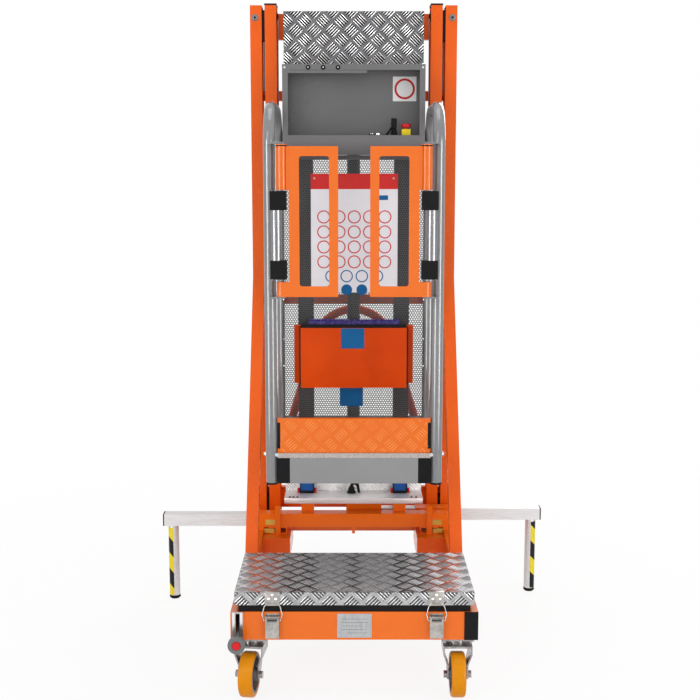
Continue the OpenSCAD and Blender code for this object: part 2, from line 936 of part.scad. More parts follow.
module cylinder_rod() {
  part(zinc) {
    bar_z(0, cylinder_y, deck_z + 40, rod_top, rod_d / 2);
    bar_z(0, cylinder_y, deck_z + 40, deck_z + 70, barrel_d / 2 - barrel_wall - seat);
  }
}

// Grooved rope pulley
module pulley() {
  half = pulley_w / 2;
  groove = rope_d / 2 + seat;
  translate([pulley_x, rope_y, pulley_z])
    rotate([-90, 0, 0])
      rotate_extrude()
        polygon([
          [pulley_pin_r + fit, -half], [pulley_rim, -half], [pulley_rim, -groove],
          [pulley_r - groove, -groove], [pulley_r - groove, groove], [pulley_rim, groove],
          [pulley_rim, half], [pulley_pin_r + fit, half]
        ]);
}

// Basket

// Cross beams, cheeks that reach into the mast, and the floor's beams
module carriage_frame() {
  part(dark_grey) {
    for (z = [beam_z - beam_step, beam_z])
      tube([-cheek_in, upright_back, z], [cheek_in, upright_back + beam_depth, z + beam_top - beam_z], 0);
    pair() span([cheek_in, upright_back, cheek_foot], [cheek_out, inner_back - 9, cheek_top]);
    pair() span([cheek_out, rope_y - 6, cheek_top - 12], [rope_in + 3, rope_y + 6, cheek_top]);
    pair() tube([inside - 32, post_y + 1, beam_z], [inside, upright_back, beam_top], 1);
    tube([-inside + 32, post_y + 1, beam_z], [inside - 32, post_y + 31, beam_top], 0);
  }
}

// Uprights in front of the cross beams, up to the top plate
module carriage_uprights() {
  part(dark_grey)
    pair() tube([post_in, upright_y, cover_z + buffer_h + seat],
                [post_in + upright_w, upright_back, upright_top], 2);
}

// Slide pads on the cheeks, running in the inner columns
module carriage_pads() {
  part(nylon)
    pair()
      for (z = [cheek_foot + 5, cheek_top - 15 - pad_h])
        span([cheek_out, inner_y + column_wall + seat, z],
             [inner_out - column_wall - seat, inner_back - column_wall - seat, z + pad_h]);
}

// A hoop's path as a solid of the given radius, in the plane x = hoop_x
module hoop_path(r, ext) {
  low = hoop_foot - ext;
  bend_top = hoop_crest - hoop_bend;
  bar_z(hoop_x, post_y, low, bend_top, r);
  bar_z(hoop_x, rear_post_y, low, bend_top, r);
  bar_y(hoop_x, post_y + hoop_bend, rear_post_y - hoop_bend, hoop_crest, r);
  for (end = [[post_y + hoop_bend, 90], [rear_post_y - hoop_bend, 0]])
    translate([hoop_x, end[0], bend_top])
      rotate([90, 0, 90])
        rotate([0, 0, end[1]])
          rotate_extrude(angle = 90)
            translate([hoop_bend, 0]) circle(r);
}

// Bracket from a front post to a gate's hinge axis
module hinge_bracket(z) {
  span([gate_x - 9, gate_y - 9, z], [hoop_x, post_y, z + bracket_t]);
}

// Side hoops with the brackets and pins of the gate hinges
module basket_hoops() {
  part(grey)
    pair() {
      difference() {
        union() {
          hoop_path(hoop_r, 0);
          hinge_bracket(gate_z - seat - bracket_t);
          hinge_bracket(hinge_top + seat);
        }
        hoop_path(hoop_r - hoop_wall, past);
      }
      bar_z(gate_x, gate_y, gate_z - seat, gate_z + ring_h - 5, hinge_pin_d / 2);
      bar_z(gate_x, gate_y, hinge_top - barrel_h + 8, hinge_top + seat, hinge_pin_d / 2);
    }
}

module basket_floor() {
  part(tread) {
    span([-inside, basket_y - 1.5, floor_z - tread_t], [inside, mesh_y - 1, floor_z]);
    span([-inside, basket_y - 1.5, floor_z - 15], [inside, basket_y - 1.5 + tread_t, floor_z]);
  }
}

// Grey sheet that closes the floor's front
module fascia() {
  top = floor_z - 15;
  part(grey) {
    span([-pad_x, fascia_y, hoop_foot], [pad_x, fascia_y + sheet_t, top]);
    span([-pad_x, fascia_y, hoop_foot], [pad_x, fascia_y + 18, hoop_foot + sheet_t]);
    span([-pad_x, fascia_y, top - sheet_t], [pad_x, post_y + 1, top]);
  }
}

// Pads beside the fascia and the caps of the hoops' ends
module corner_pads() {
  span([pad_x, fascia_y, hoop_foot], [inside, post_y + 1, floor_z - 15]);
  for (y = [post_y, rear_post_y])
    bar_z(hoop_x, y, hoop_foot - 6, hoop_foot, hoop_r);
}

module toe_board() {
  half = inside - 8.5;
  top = floor_z + toe_h;
  part(orange) {
    span([-half, toe_y, floor_z], [half, toe_y + gate_t, top]);
    span([-half, toe_y, floor_z], [half, toe_y + 25, floor_z + gate_t]);
    span([-half, toe_y, top - gate_t], [half, toe_y + 14, top]);
    pair() span([half, toe_y, top - 12], [inside, toe_y + 20, top]);
    pair() span([half, toe_y, floor_z], [inside, toe_y + 20, floor_z + 12]);
  }
}

// Back panel of the basket, pierced in staggered rows
module mesh_panel() {
  half = inside + panel_lap;
  columns = 12;
  rows = 22;
  step_x = (2 * half - 24) / columns;
  step_z = (mesh_top - floor_z - 26) / rows;
  part(dark_grey)
    translate([0, mesh_y + sheet_t, 0])
      rotate([90, 0, 0])
        linear_extrude(sheet_t)
          difference() {
            translate([-half, floor_z + 1]) square([2 * half, mesh_top - floor_z - 1]);
            for (r = [0:rows - 1])
              for (c = [0:columns - 1 - r % 2])
                translate([
                  (c + 0.5 + (r % 2) / 2) * step_x - half + 12,
                  floor_z + 14 + (r + 0.5) * step_z
                ])
                  circle(step_x * 0.40, $fn = 6);
          }
}

// Open-fronted sheet box with a wall in front of the controls
module control_box() {
  half = box_w / 2;
  part(dark_grey) {
    difference() {
      span([-half, box_y, box_z], [half, upright_y, box_top]);
      span([-half + sheet_t, box_y + sheet_t, box_z + sheet_t],
           [half - sheet_t, upright_y - sheet_t, box_top - sheet_t]);
      span([-half + box_edge, box_y - past, box_z + box_lip],
           [half - box_edge, box_y + sheet_t + past, box_top - box_edge]);
    }
    span([-half + sheet_t, box_y + sheet_t, shelf_z - sheet_t], [half - sheet_t, upright_y - sheet_t, shelf_z]);
  }
}

module top_plate() {
  part(tread)
    span([-box_w / 2, upright_y - tread_t, box_top], [box_w / 2, upright_y, box_top + top_plate_h]);
}

// Open-topped pocket on the mesh panel
module document_box() {
  half = pocket_w / 2;
  front = mesh_y - pocket_l;
  part(red_orange) {
    difference() {
      span([-half, front, pocket_z], [half, mesh_y, pocket_z + pocket_h]);
      span([-half + sheet_t, front + sheet_t, pocket_z + sheet_t],
           [half - sheet_t, mesh_y - sheet_t, pocket_z + pocket_h + past]);
    }
    pair() span([half, mesh_y - sheet_t, pocket_z + 8], [half + 23, mesh_y, pocket_z + pocket_h + 4]);
  }
}

// Grab handle beside a gate: a tube between two end blocks on the front post
module grab_handle() {
  for (z = [grab_z, grab_z + grab_h - grab_block])
    span([gate_x - 14, grab_y - grab_r - 1, z], [hoop_x - 4, basket_y + seat, z + grab_block]);
  bar_z(grab_x, grab_y, grab_z, grab_z + grab_h, grab_r);
}

// Black mouldings of the basket: grab handles, corner pads and end caps
module basket_mouldings() {
  part(black)
    pair() {
      grab_handle();
      corner_pads();
    }
}

// A gate for the right side: plate with a window, sprung barrel and lower ring
module gate() {
  inner = gate_out - gate_w;
  barrel_z = hinge_top - barrel_h;
  difference() {
    union() {
      translate([0, gate_front + gate_t, 0])
        rotate([90, 0, 0])
          linear_extrude(gate_t)
            difference() {
              translate([inner, gate_z]) square([gate_w, gate_h]);
              window(inner + 26, gate_z + 31, gate_out - 30, gate_top - 28);
            }
      bar_z(gate_x, gate_y, barrel_z, hinge_top, hinge_d / 2);
      bar_z(gate_x, gate_y, gate_z, gate_z + ring_h, hinge_d / 2);
      span([gate_out - 12, gate_front + gate_t - 1, barrel_z], [gate_x - hinge_d / 2 + 3, gate_y, gate_top]);
      span([gate_out, gate_front, gate_z], [gate_x - 4, gate_front + gate_t, gate_z + ring_h]);
    }
    bar_z(gate_x, gate_y, gate_z - past, hinge_top + past, hinge_pin_d / 2 + fit);
  }
}

// An upright window with round corners
module window(x0, z0, x1, z1) {
  r = window_r;
  translate([x0 + r, z0]) square([x1 - x0 - 2 * r, z1 - z0]);
  translate([x0, z0 + r]) square([x1 - x0, z1 - z0 - 2 * r]);
  for (x = [x0 + r, x1 - r])
    for (z = [z0 + r, z1 - r])
      translate([x, z]) circle(r);
}

// Controls

// Bases of the stop, the joystick, the button and the lamp on the box's shelf
module control_bases() {
  part(black) {
    difference() {
      span([stop_x - 14, control_y - 14, shelf_z], [stop_x + 14, control_y + 14, shelf_z + stop_h]);
      bar_z(stop_x, control_y, shelf_z + 20, shelf_z + stop_h + past, 6 + fit);
    }
    difference() {
      bar_z(stick_x, control_y, shelf_z, shelf_z + socket_h, 17);
      bar_z(stick_x, control_y, shelf_z + 10 - seat, shelf_z + socket_h + past, 12);
    }
    difference() {
      bar_z(button_x, control_y, shelf_z, shelf_z + 24, 10);
      bar_z(button_x, control_y, shelf_z + 8, shelf_z + 24 + past, 4 + fit);
    }
    bar_z(lamp_x, control_y, shelf_z, shelf_z + 30, 9);
  }
}

module stop_button() {
  part(red)
    translate([stop_x, control_y, shelf_z + stop_h])
      rotate_extrude()
        polygon([
          [0, -20], [6, -20], [6, 5], [12, 5], [16, 8], [16, 14], [14, 17], [0, 17]
        ]);
}

module joystick() {
  part(black)
    translate([stick_x, control_y, shelf_z + 18]) {
      sphere(8);
      rotate_extrude()
        polygon([
          [0, 0], [5, 0], [5, 26], [8, 32], [9, 46], [7, 58], [4, 61], [0, 61]
        ]);
    }
}

module push_button() {
  part(zinc)
    translate([button_x, control_y, shelf_z])
      rotate_extrude()
        polygon([
          [0, 12], [4, 12], [4, 27.5], [8, 27.5], [8, 33], [7, 34], [0, 34]
        ]);
}

// Left and right pieces
module latch_lever_left() { part(zinc) mirror([1, 0, 0]) latch_lever(); }
module latch_lever_right() { part(zinc) latch_lever(); }
module latch_bail_left() { part(zinc) mirror([1, 0, 0]) latch_bail(); }
module latch_bail_right() { part(zinc) latch_bail(); }
module outrigger_arm_left() { mirror([1, 0, 0]) outrigger_arm(arm_y); }
module outrigger_arm_right() { outrigger_arm(arm_y + arm_step); }
module outrigger_ends_left() { mirror([1, 0, 0]) outrigger_ends(arm_y); }
module outrigger_ends_right() { outrigger_ends(arm_y + arm_step); }
module caster_fork_left() { part(zinc) at_caster(-1) caster_fork(); }
module caster_fork_right() { part(zinc) at_caster(1) caster_fork(); }
module wheel_core_left() { part(grey) at_caster(-1) wheel_core(); }
module wheel_core_right() { part(grey) at_caster(1) wheel_core(); }
module tyre_left() { part(amber) at_caster(-1) tyre(); }
module tyre_right() { part(amber) at_caster(1) tyre(); }
module rear_wheel_left() { part(amber) mirror([1, 0, 0]) rear_wheel(); }
module rear_wheel_right() { part(amber) rear_wheel(); }
module pulley_left() { part(black) mirror([1, 0, 0]) pulley(); }
module pulley_right() { part(black) pulley(); }
module gate_left() { part(orange) mirror([1, 0, 0]) gate(); }
module gate_right() { part(orange) gate(); }

chassis_frame();
arm_guides();
mast_outer();
mast_members();
side_braces();
push_handle();
front_fittings();
rubber_trim();
battery_pack();
power_unit();
lift_cylinder();
base_cover();
buffers();
caster_plates();
rear_forks();
mast_pads();
rope_anchor_runs();
lid();
latch_lever_left();
latch_lever_right();
latch_bail_left();
latch_bail_right();
brake_lever();
outrigger_arm_left();
outrigger_arm_right();
outrigger_ends_left();
outrigger_ends_right();
caster_fork_left();
caster_fork_right();
wheel_core_left();
wheel_core_right();
tyre_left();
tyre_right();
rear_wheel_left();
rear_wheel_right();
mast_inner();
mast_caps();
rope_bends();
cylinder_rod();
pulley_left();
pulley_right();
rope_carriage_runs();
carriage_frame();
carriage_uprights();
carriage_pads();
basket_hoops();
basket_floor();
fascia();
toe_board();
mesh_panel();
control_box();
top_plate();
document_box();
basket_mouldings();
gate_left();
gate_right();
control_bases();
stop_button();
joystick();
push_button();
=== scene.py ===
from math import pi, radians

import bmesh
import bpy
from bmesh.types import BMEdge, BMVert
from mathutils import Matrix, Vector


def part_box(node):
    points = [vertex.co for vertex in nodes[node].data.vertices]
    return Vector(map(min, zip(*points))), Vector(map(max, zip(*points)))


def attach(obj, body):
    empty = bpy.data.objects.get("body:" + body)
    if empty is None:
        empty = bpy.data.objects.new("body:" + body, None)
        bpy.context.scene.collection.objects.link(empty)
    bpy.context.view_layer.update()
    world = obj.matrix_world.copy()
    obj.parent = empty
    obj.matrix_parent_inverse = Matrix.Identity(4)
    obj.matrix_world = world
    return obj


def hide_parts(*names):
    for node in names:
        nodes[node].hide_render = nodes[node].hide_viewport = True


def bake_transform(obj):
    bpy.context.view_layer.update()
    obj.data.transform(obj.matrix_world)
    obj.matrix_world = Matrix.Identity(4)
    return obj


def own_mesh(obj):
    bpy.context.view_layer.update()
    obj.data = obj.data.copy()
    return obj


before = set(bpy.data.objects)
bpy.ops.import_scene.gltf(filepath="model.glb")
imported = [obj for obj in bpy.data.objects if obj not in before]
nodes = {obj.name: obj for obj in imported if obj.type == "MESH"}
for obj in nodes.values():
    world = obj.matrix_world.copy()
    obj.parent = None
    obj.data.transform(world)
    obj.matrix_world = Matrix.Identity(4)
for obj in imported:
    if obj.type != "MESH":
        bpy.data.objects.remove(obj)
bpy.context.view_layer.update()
scene = bpy.context.scene


# ---------------------------------------------------- studio
# A white room with a pale floor. The camera stands three metres in front of the
# step, 1.44 m above the floor, and looks slightly down.
camera = bpy.data.objects.new("camera", bpy.data.cameras.new("camera"))
scene.collection.objects.link(camera)
scene.camera = camera
camera.data.lens = 61.7
camera.data.sensor_width = 36
camera.data.clip_end = 100
camera.location = (-0.012, -3.636, 1.4415)
camera.rotation_euler = (radians(81.47), 0, 0)
scene.view_settings.view_transform = "Standard"


def feed(tree, target, inputs):
    """Fills a node's inputs, each with a value or a link."""
    for socket, value in inputs.items():
        if isinstance(value, bpy.types.NodeSocket):
            tree.links.new(value, target.inputs[socket])
        else:
            target.inputs[socket].default_value = value


def node(tree, kind, inputs=None, operation=None):
    """Adds a shader node and fills its inputs."""
    made = tree.nodes.new("ShaderNode" + kind)
    if operation:
        made.operation = operation
    feed(tree, made, inputs or {})
    return made


def maths(tree, operation, *terms):
    """The result of an operation on values and links."""
    return node(tree, "Math", dict(enumerate(terms)), operation).outputs[0]


# The camera and mirroring surfaces see a full white room, and it lights less than that.
world = bpy.data.worlds.new("room")
scene.world = world
world.use_nodes = True
air = world.node_tree
ray = node(air, "LightPath").outputs
mirrored = maths(air, "ADD", ray["Is Glossy Ray"], ray["Is Transmission Ray"])
seen = maths(air, "ADD", ray["Is Camera Ray"], mirrored)
level = node(air, "MapRange", {"Value": seen, "To Min": 0.68, "To Max": 1.0})
room = {"Color": (1, 1, 1, 1), "Strength": level.outputs["Result"]}
feed(air, air.nodes["Background"], room)


def softbox(name, place, target, size, power, mirrored=True, lights=True):
    """A rectangular lamp that looks at a target and isn't seen by the camera."""
    light = bpy.data.objects.new(name, bpy.data.lights.new(name, "AREA"))
    scene.collection.objects.link(light)
    light.data.shape = "RECTANGLE"
    light.data.size, light.data.size_y = size
    light.data.energy = power
    light.location = place
    look = Vector(target) - Vector(place)
    light.rotation_euler = look.to_track_quat("-Z", "Y").to_euler()
    light.visible_camera = False
    light.visible_glossy = mirrored
    light.visible_diffuse = lights


strip, screen = (0.08, 2.2), (0.9, 2.6)
softbox("key_light", (-2.3, -3.6, 3.3), (0, 0, 1.0), (1.6, 2.4), 24)
softbox("fill_light", (2.6, -3.2, 2.2), (0, 0, 0.9), (1.4, 2.4), 14)
softbox("front_light", (0.0, -8.0, 0.9), (0, 0, 0.7), (4.4, 2.0), 80, mirrored=False)
softbox("top_light", (0.0, 0.2, 4.4), (0, 0, 1.0), (2.2, 2.2), 24)
softbox("back_light", (1.6, 3.4, 2.6), (0, 0, 1.0), (1.6, 2.0), 45)
softbox("left_strip", (-1.5, -2.7, 1.2), (0, 0, 1.1), strip, 6)
softbox("right_strip", (1.5, -2.7, 1.2), (0, 0, 1.1), strip, 6)
softbox("left_screen", (-2.4, -2.3, 1.2), (0, 0, 1.1), screen, 60, lights=False)
softbox("right_screen", (2.4, -2.3, 1.2), (0, 0, 1.1), screen, 60, lights=False)


def material(name):
    """A new material with its node tree and shader."""
    mat = bpy.data.materials.new(name)
    mat.use_nodes = True
    return mat, mat.node_tree, mat.node_tree.nodes["Principled BSDF"]


def solid(name, bm, mat):
    """Turns a finished shape into an object at the origin."""
    mesh = bpy.data.meshes.new(name)
    bm.normal_update()
    bm.to_mesh(mesh)
    bm.free()
    mesh.materials.append(mat)
    made = bpy.data.objects.new(name, mesh)
    scene.collection.objects.link(made)
    return made


# The floor takes shadows near the machine and fades to plain white further out.
floor_paint, tree, matt = material("pale_floor")
grey = (0.92, 0.92, 0.92, 1)
feed(tree, matt, {"Base Color": grey, "Roughness": 0.8, "Specular IOR Level": 0.1})
glow = node(tree, "Emission", {"Color": (1, 1, 1, 1)})
ray = node(tree, "LightPath").outputs
seen = maths(tree, "ADD", ray["Is Camera Ray"], ray["Is Glossy Ray"])
place = node(tree, "TexCoord").outputs["Object"]
reach = node(tree, "VectorMath", {0: place}, "LENGTH").outputs["Value"]
near, far = {"From Min": 0.8, "To Min": 0.88}, {"From Max": 2.6, "To Max": 1.0}
fade = node(tree, "MapRange", {"Value": reach, **near, **far}).outputs["Result"]
share = maths(tree, "MULTIPLY", seen, fade)
blend = node(tree, "MixShader", {"Fac": share, 1: matt.outputs[0], 2: glow.outputs[0]})
feed(tree, tree.nodes["Material Output"], {"Surface": blend.outputs[0]})
bm = bmesh.new()
bmesh.ops.create_grid(bm, x_segments=1, y_segments=1, size=30)
bmesh.ops.translate(bm, verts=bm.verts[:], vec=(0, 0, -0.0005))
floor = solid("floor", bm, floor_paint)


# ---------------------------------------------------- welded frame
# Rails, columns, braces, arm guides and push handle are welded steel tube and
# plate, powder coated orange. The coat has a fine orange peel and thins a little
# in colour from place to place.
def two_tone(tree, share, dull, colour, low, high):
    """A colour that goes from a dull to a full tone between two values of a share."""
    ramp = node(tree, "ValToRGB", {"Fac": share})
    for stop, place, tone in zip(ramp.color_ramp.elements, (low, high), (dull, colour)):
        stop.position = place
        stop.color = (*tone, 1)
    return ramp.outputs["Color"]


def emboss(tree, height, strength, depth):
    """Turns a pattern into a fine relief on the shader."""
    bump = node(tree, "Bump", {"Height": height, "Strength": strength, "Distance": depth})
    feed(tree, tree.nodes["Principled BSDF"], {"Normal": bump.outputs["Normal"]})


def coating(
    name, colour, dull, roughness, peel=0.10, metallic=0.0, grain=700, spread=6.0, shine=0.25
):
    """A finish with a fine relief, and a cloudy change of colour and gloss."""
    mat, tree, shader = material(name)
    place = node(tree, "TexCoord").outputs["Object"]
    noise = {"Vector": place, "Scale": spread, "Detail": 6, "Roughness": 0.6}
    cloud = node(tree, "TexNoise", noise).outputs["Fac"]
    duller, glossier = roughness + 0.07, roughness - 0.05
    spans = {"From Min": 0.3, "From Max": 0.7, "To Min": duller, "To Max": glossier}
    feed(tree, shader, {
        "Metallic": metallic,
        "Specular IOR Level": shine,
        "Base Color": two_tone(tree, cloud, dull, colour, 0.30, 0.62),
        "Roughness": node(tree, "MapRange", {"Value": cloud, **spans}).outputs["Result"],
    })
    fine = node(tree, "TexNoise", {"Vector": place, "Scale": grain, "Detail": 2})
    emboss(tree, fine.outputs["Fac"], peel, 0.0006)
    return mat


def coat(mat, *names):
    """Gives CAD nodes a material."""
    for name in names:
        mesh = nodes[name].data
        mesh.materials.clear()
        mesh.materials.append(mat)


orange = coating("orange_powder_coat", (0.880, 0.124, 0.005), (0.830, 0.108, 0.004), 0.24)
coat(orange, "mast_outer", "mast_members", "side_braces", "push_handle", "mast_inner")
light_orange = coating(
    "light_orange_coat", (0.800, 0.152, 0.004), (0.760, 0.136, 0.003), 0.17, shine=0.4
)
coat(light_orange, "chassis_frame")
# The arm guides get a brighter copy of the frame's orange: painted light against the shade they
# stand in.
guide_orange_painted_light = coating(
    "guide_orange_painted_light_coat", (0.930, 0.175, 0.006), (0.890, 0.158, 0.005), 0.22, shine=0.3
)
coat(guide_orange_painted_light, "arm_guides")
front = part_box("chassis_frame")[0].y


# ---------------------------------------------------- rear boxes
# The short boxes over the rear wheels are closed in front by end plates of thin
# sheet, welded in and painted with the frame.
def piece(name, bm, mat, body, slot, *stands_for, smooth=0.6):
    """Hands a finished shape over as a piece that rides on a body."""
    made = solid(name, bm, mat)
    if smooth:
        made.data.shade_smooth()
        made.data.set_sharp_from_angle(angle=smooth)
    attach(made, body)
    if stands_for:
        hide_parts(*stands_for)


def block(bm, x, y, z, edge=0.0, segments=2):
    """A block that fills three spans, with its edges broken."""
    low, high = (Vector(corner) for corner in zip(x, y, z))
    made = bmesh.ops.create_cube(bm, size=1)["verts"]
    bmesh.ops.scale(bm, verts=made, vec=high - low)
    bmesh.ops.translate(bm, verts=made, vec=(low + high) / 2)
    if edge:
        edges = list({e for v in made for e in v.link_edges})
        bmesh.ops.bevel(
            bm, geom=edges, offset=edge, segments=segments,
            affect="EDGES", profile=0.5, material=-1,
        )


def blocks(name, mat, body, slot, spans, edge=0.0, segments=2, smooth=0.6):
    """A piece made of blocks, each given as its spans in x, y and z."""
    bm = bmesh.new()
    for x, y, z in spans:
        block(bm, x, y, z, edge, segments)
    piece(name, bm, mat, body, slot, smooth=smooth)


def beside(side, near, far):
    """The span in x between two distances from the middle, on one side."""
    return sorted((side * near, side * far))


end_plate = (front + 0.7045, front + 0.7060)
blocks(
    "box_end_plates", orange, "chassis", "orange_paint",
    [(beside(side, 0.2115, 0.3015), end_plate, (0.1645, 0.2305)) for side in (-1, 1)],
    0.0005, 1, smooth=0,
)


# ---------------------------------------------------- step lid
# The lid is folded from five-bar aluminium tread plate. Each bar is rolled a good
# millimetre proud of the sheet. Rows lean one way and the other by turns.
def rolled_metal(name, colour, dull, roughness, streak, relief=0.15, metallic=1.0):
    """Bare metal with the fine lines of the rolls and a change of gloss along them."""
    mat, tree, shader = material(name)
    place = node(tree, "TexCoord").outputs["Object"]
    drawn = node(tree, "Mapping", {"Vector": place, "Scale": streak}).outputs["Vector"]
    noise = {"Vector": drawn, "Scale": 6, "Detail": 7, "Roughness": 0.65}
    lines = node(tree, "TexNoise", noise).outputs["Fac"]
    spans = {"To Min": roughness + 0.16, "To Max": roughness - 0.10}
    feed(tree, shader, {
        "Metallic": metallic,
        "Base Color": two_tone(tree, lines, dull, colour, 0.32, 0.66),
        "Roughness": node(tree, "MapRange", {"Value": lines, **spans}).outputs["Result"],
    })
    emboss(tree, lines, relief, 0.0004)
    return mat


def shade_over(tree, share, tone):
    """Paints shade: lays a darker tone over the shader's colour, by a share."""
    shader = tree.nodes["Principled BSDF"]
    plain = shader.inputs["Base Color"].links[0].from_socket
    shade = tree.nodes.new("ShaderNodeMix")
    shade.data_type = "RGBA"
    feed(tree, shade, {0: share, 6: plain, 7: (*tone, 1)})
    feed(tree, shader, {"Base Color": shade.outputs[2]})


tread_pitch = 0.060
tread_row = (-0.0087, 0.0105, 0.0290)


def pressed_sheet(name, colour, dull, hollow, roughness):
    """Tread plate between its bars: plain sheet, and painted shade in the hollows inside each
    group.
    """
    mat = rolled_metal(name, colour, dull, roughness, (8, 8, 8))
    tree = mat.node_tree
    place = node(tree, "TexCoord").outputs["Object"]
    from_row = node(tree, "VectorMath", {0: place, 1: tread_row}, "SUBTRACT").outputs[0]
    at = node(tree, "SeparateXYZ", {0: from_row}).outputs
    normal = node(tree, "NewGeometry").outputs["True Normal"]
    faces = node(tree, "SeparateXYZ", {0: normal}).outputs

    def sum_of(operation, *terms):
        return maths(tree, operation, *terms)

    def choice(share, first, second):
        change = sum_of("SUBTRACT", second, first)
        return sum_of("ADD", first, sum_of("MULTIPLY", share, change))

    lies_flat = sum_of("GREATER_THAN", sum_of("ABSOLUTE", faces["Z"]), 0.7)
    looks_aside = sum_of("GREATER_THAN", sum_of("ABSOLUTE", faces["X"]), 0.7)
    along = choice(looks_aside, at["X"], at["Y"])
    across = choice(lies_flat, at["Z"], at["Y"])
    lean = sum_of("DIVIDE", sum_of("ADD", along, across), tread_pitch)
    back = sum_of("DIVIDE", sum_of("SUBTRACT", along, across), tread_pitch)
    from_middle = sum_of("MAXIMUM", sum_of("PINGPONG", lean, 0.5), sum_of("PINGPONG", back, 0.5))
    # The hollows between the bars of each group get painted shade, on outward faces only.
    spans = {"From Min": 0.37, "From Max": 0.43, "To Min": 1.0, "To Max": 0.0}
    inside = node(tree, "MapRange", {"Value": from_middle, **spans}).outputs["Result"]
    aside = sum_of("MULTIPLY", faces["X"], sum_of("SIGN", at["X"]))
    outward = sum_of("ADD", aside, sum_of("SUBTRACT", faces["Z"], faces["Y"]))
    outer_side = sum_of("GREATER_THAN", outward, 0.5)
    shade_over(tree, sum_of("MULTIPLY", inside, outer_side), hollow)
    return mat


# The last tone given to each sheet is the painted shade in the hollows between its bars.
tread_sheet = pressed_sheet(
    "tread_sheet", (0.24, 0.24, 0.25), (0.10, 0.10, 0.105), (0.008, 0.008, 0.009), 0.24
)
step_sheet = pressed_sheet(
    "step_sheet", (0.60, 0.60, 0.61), (0.36, 0.36, 0.37), (0.120, 0.120, 0.122), 0.15
)
# The lid top's bars are a darker copy of the bar metal: painted shade for the dark that the lid top
# reflects.
shaded_top_bars = rolled_metal(
    "shaded_top_tread_bars", (0.54, 0.54, 0.55), (0.34, 0.34, 0.35), 0.30, (14, 14, 14)
)
tread_bar_metal = rolled_metal(
    "tread_bar_metal", (0.96, 0.96, 0.96), (0.62, 0.62, 0.63), 0.24, (14, 14, 14)
)
# The top plate's sheet is dark grey as a painted reflection of dark surroundings, which the white
# room doesn't give.
coat(tread_sheet, "top_plate")
coat(step_sheet, "lid")


def whole(bm):
    """All the elements of a shape."""
    return bm.verts[:] + bm.edges[:] + bm.faces[:]


def only(kind, geom):
    """The elements of one kind among others."""
    return [part for part in geom if isinstance(part, kind)]


def repeat(bm, step, times):
    """Copies a whole shape along a step, until there are so many of it."""
    cell = whole(bm)
    for n in range(1, times):
        copy = bmesh.ops.duplicate(bm, geom=cell)["geom"]
        bmesh.ops.translate(bm, verts=only(BMVert, copy), vec=Vector(step) * n)


def tread_bar(bm, offset, lean, centre, size):
    """One of the five bars of a group, laid flat and turned to lean one way."""
    bar = bmesh.ops.create_uvsphere(bm, u_segments=8, v_segments=6, radius=1)["verts"]
    bmesh.ops.scale(bm, verts=bar, vec=size)
    flat = Matrix.Rotation(radians(-90), 3, "X")
    turned = Matrix.Rotation(radians(-45 * lean), 3, "Z")
    bmesh.ops.rotate(bm, verts=bar, cent=(0, 0, 0), matrix=flat)
    bmesh.ops.translate(bm, verts=bar, vec=(offset, 0, 0))
    bmesh.ops.rotate(bm, verts=bar, cent=(0, 0, 0), matrix=turned)
    bmesh.ops.translate(bm, verts=bar, vec=centre)


def tread_bars(
    name, body, slot, mat, corner, along, up, width, height,
    proud=0.0013, reach=0.0180, thick=0.0017,
):
    """Five-bar pattern on a flat face that runs from a corner along two directions."""
    along, up, corner = Vector(along), Vector(up), Vector(corner)
    from_row = Vector(tread_row) - corner
    start = [from_row.dot(way) % tread_pitch - tread_pitch for way in (along, up)]
    bar_step, trim = 0.0075, 0.001
    bm = bmesh.new()
    for lean, shift in ((1, 0), (-1, tread_pitch / 2)):
        for n in range(-2, 3):
            centre = (start[0] + shift, start[1] + shift, 0)
            tread_bar(bm, n * bar_step, lean, centre, (thick, proud, reach))
    repeat(bm, (tread_pitch, 0, 0), int(width / tread_pitch) + 3)
    repeat(bm, (0, tread_pitch, 0), int(height / tread_pitch) + 3)
    for point, normal in (
        ((trim, 0, 0), (-1, 0, 0)), ((width - trim, 0, 0), (1, 0, 0)),
        ((0, trim, 0), (0, -1, 0)), ((0, height - trim, 0), (0, 1, 0)),
    ):
        cut = bmesh.ops.bisect_plane(
            bm, geom=whole(bm), plane_co=point, plane_no=normal, clear_outer=True
        )
        bmesh.ops.holes_fill(bm, edges=only(BMEdge, cut["geom_cut"]), sides=0)
    turn = Matrix((along, up, along.cross(up))).transposed().to_4x4()
    bm.transform(Matrix.Translation(corner) @ turn)
    if along.y:
        bmesh.ops.recalc_face_normals(bm, faces=bm.faces[:])
    piece(name, bm, mat, body, slot)


lid_low, lid_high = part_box("lid")
lid_front = lid_low.y
lid_foot = 0.263
lid_wide, lid_deep, lid_tall = lid_high.x - lid_low.x, 0.342, lid_high.z - lid_foot
to_right, to_back, upwards = (1, 0, 0), (0, 1, 0), (0, 0, 1)
for face, corner, along, up, width, height in (
    ("top", (lid_low.x, lid_front, lid_high.z), to_right, to_back, lid_wide, lid_deep),
    ("front", (lid_low.x, lid_front, lid_foot), to_right, upwards, lid_wide, lid_tall),
    ("left", (lid_low.x, lid_front, lid_foot), to_back, upwards, lid_deep, lid_tall),
    ("right", (lid_high.x, lid_front, lid_foot), to_back, upwards, lid_deep, lid_tall),
):
    finish = shaded_top_bars if face == "top" else tread_bar_metal
    tread_bars(
        f"lid_{face}_bars", "lid", "tread_aluminium", finish, corner, along, up, width, height
    )


# ---------------------------------------------------- latches
# Two over-centre latches of zinc plated sheet and wire hold the lid down. The catch
# plates are folded over the lid's front edge and held by three rivets each.
def rivet(bm, centre, radius, flat=1.0, sides=12, rings=6):
    """The domed head of a rivet that looks at -Y."""
    dome = bmesh.ops.create_uvsphere(bm, u_segments=sides, v_segments=rings, radius=radius)
    bmesh.ops.scale(bm, verts=dome["verts"], vec=(1, flat, 1))
    bmesh.ops.translate(bm, verts=dome["verts"], vec=centre)


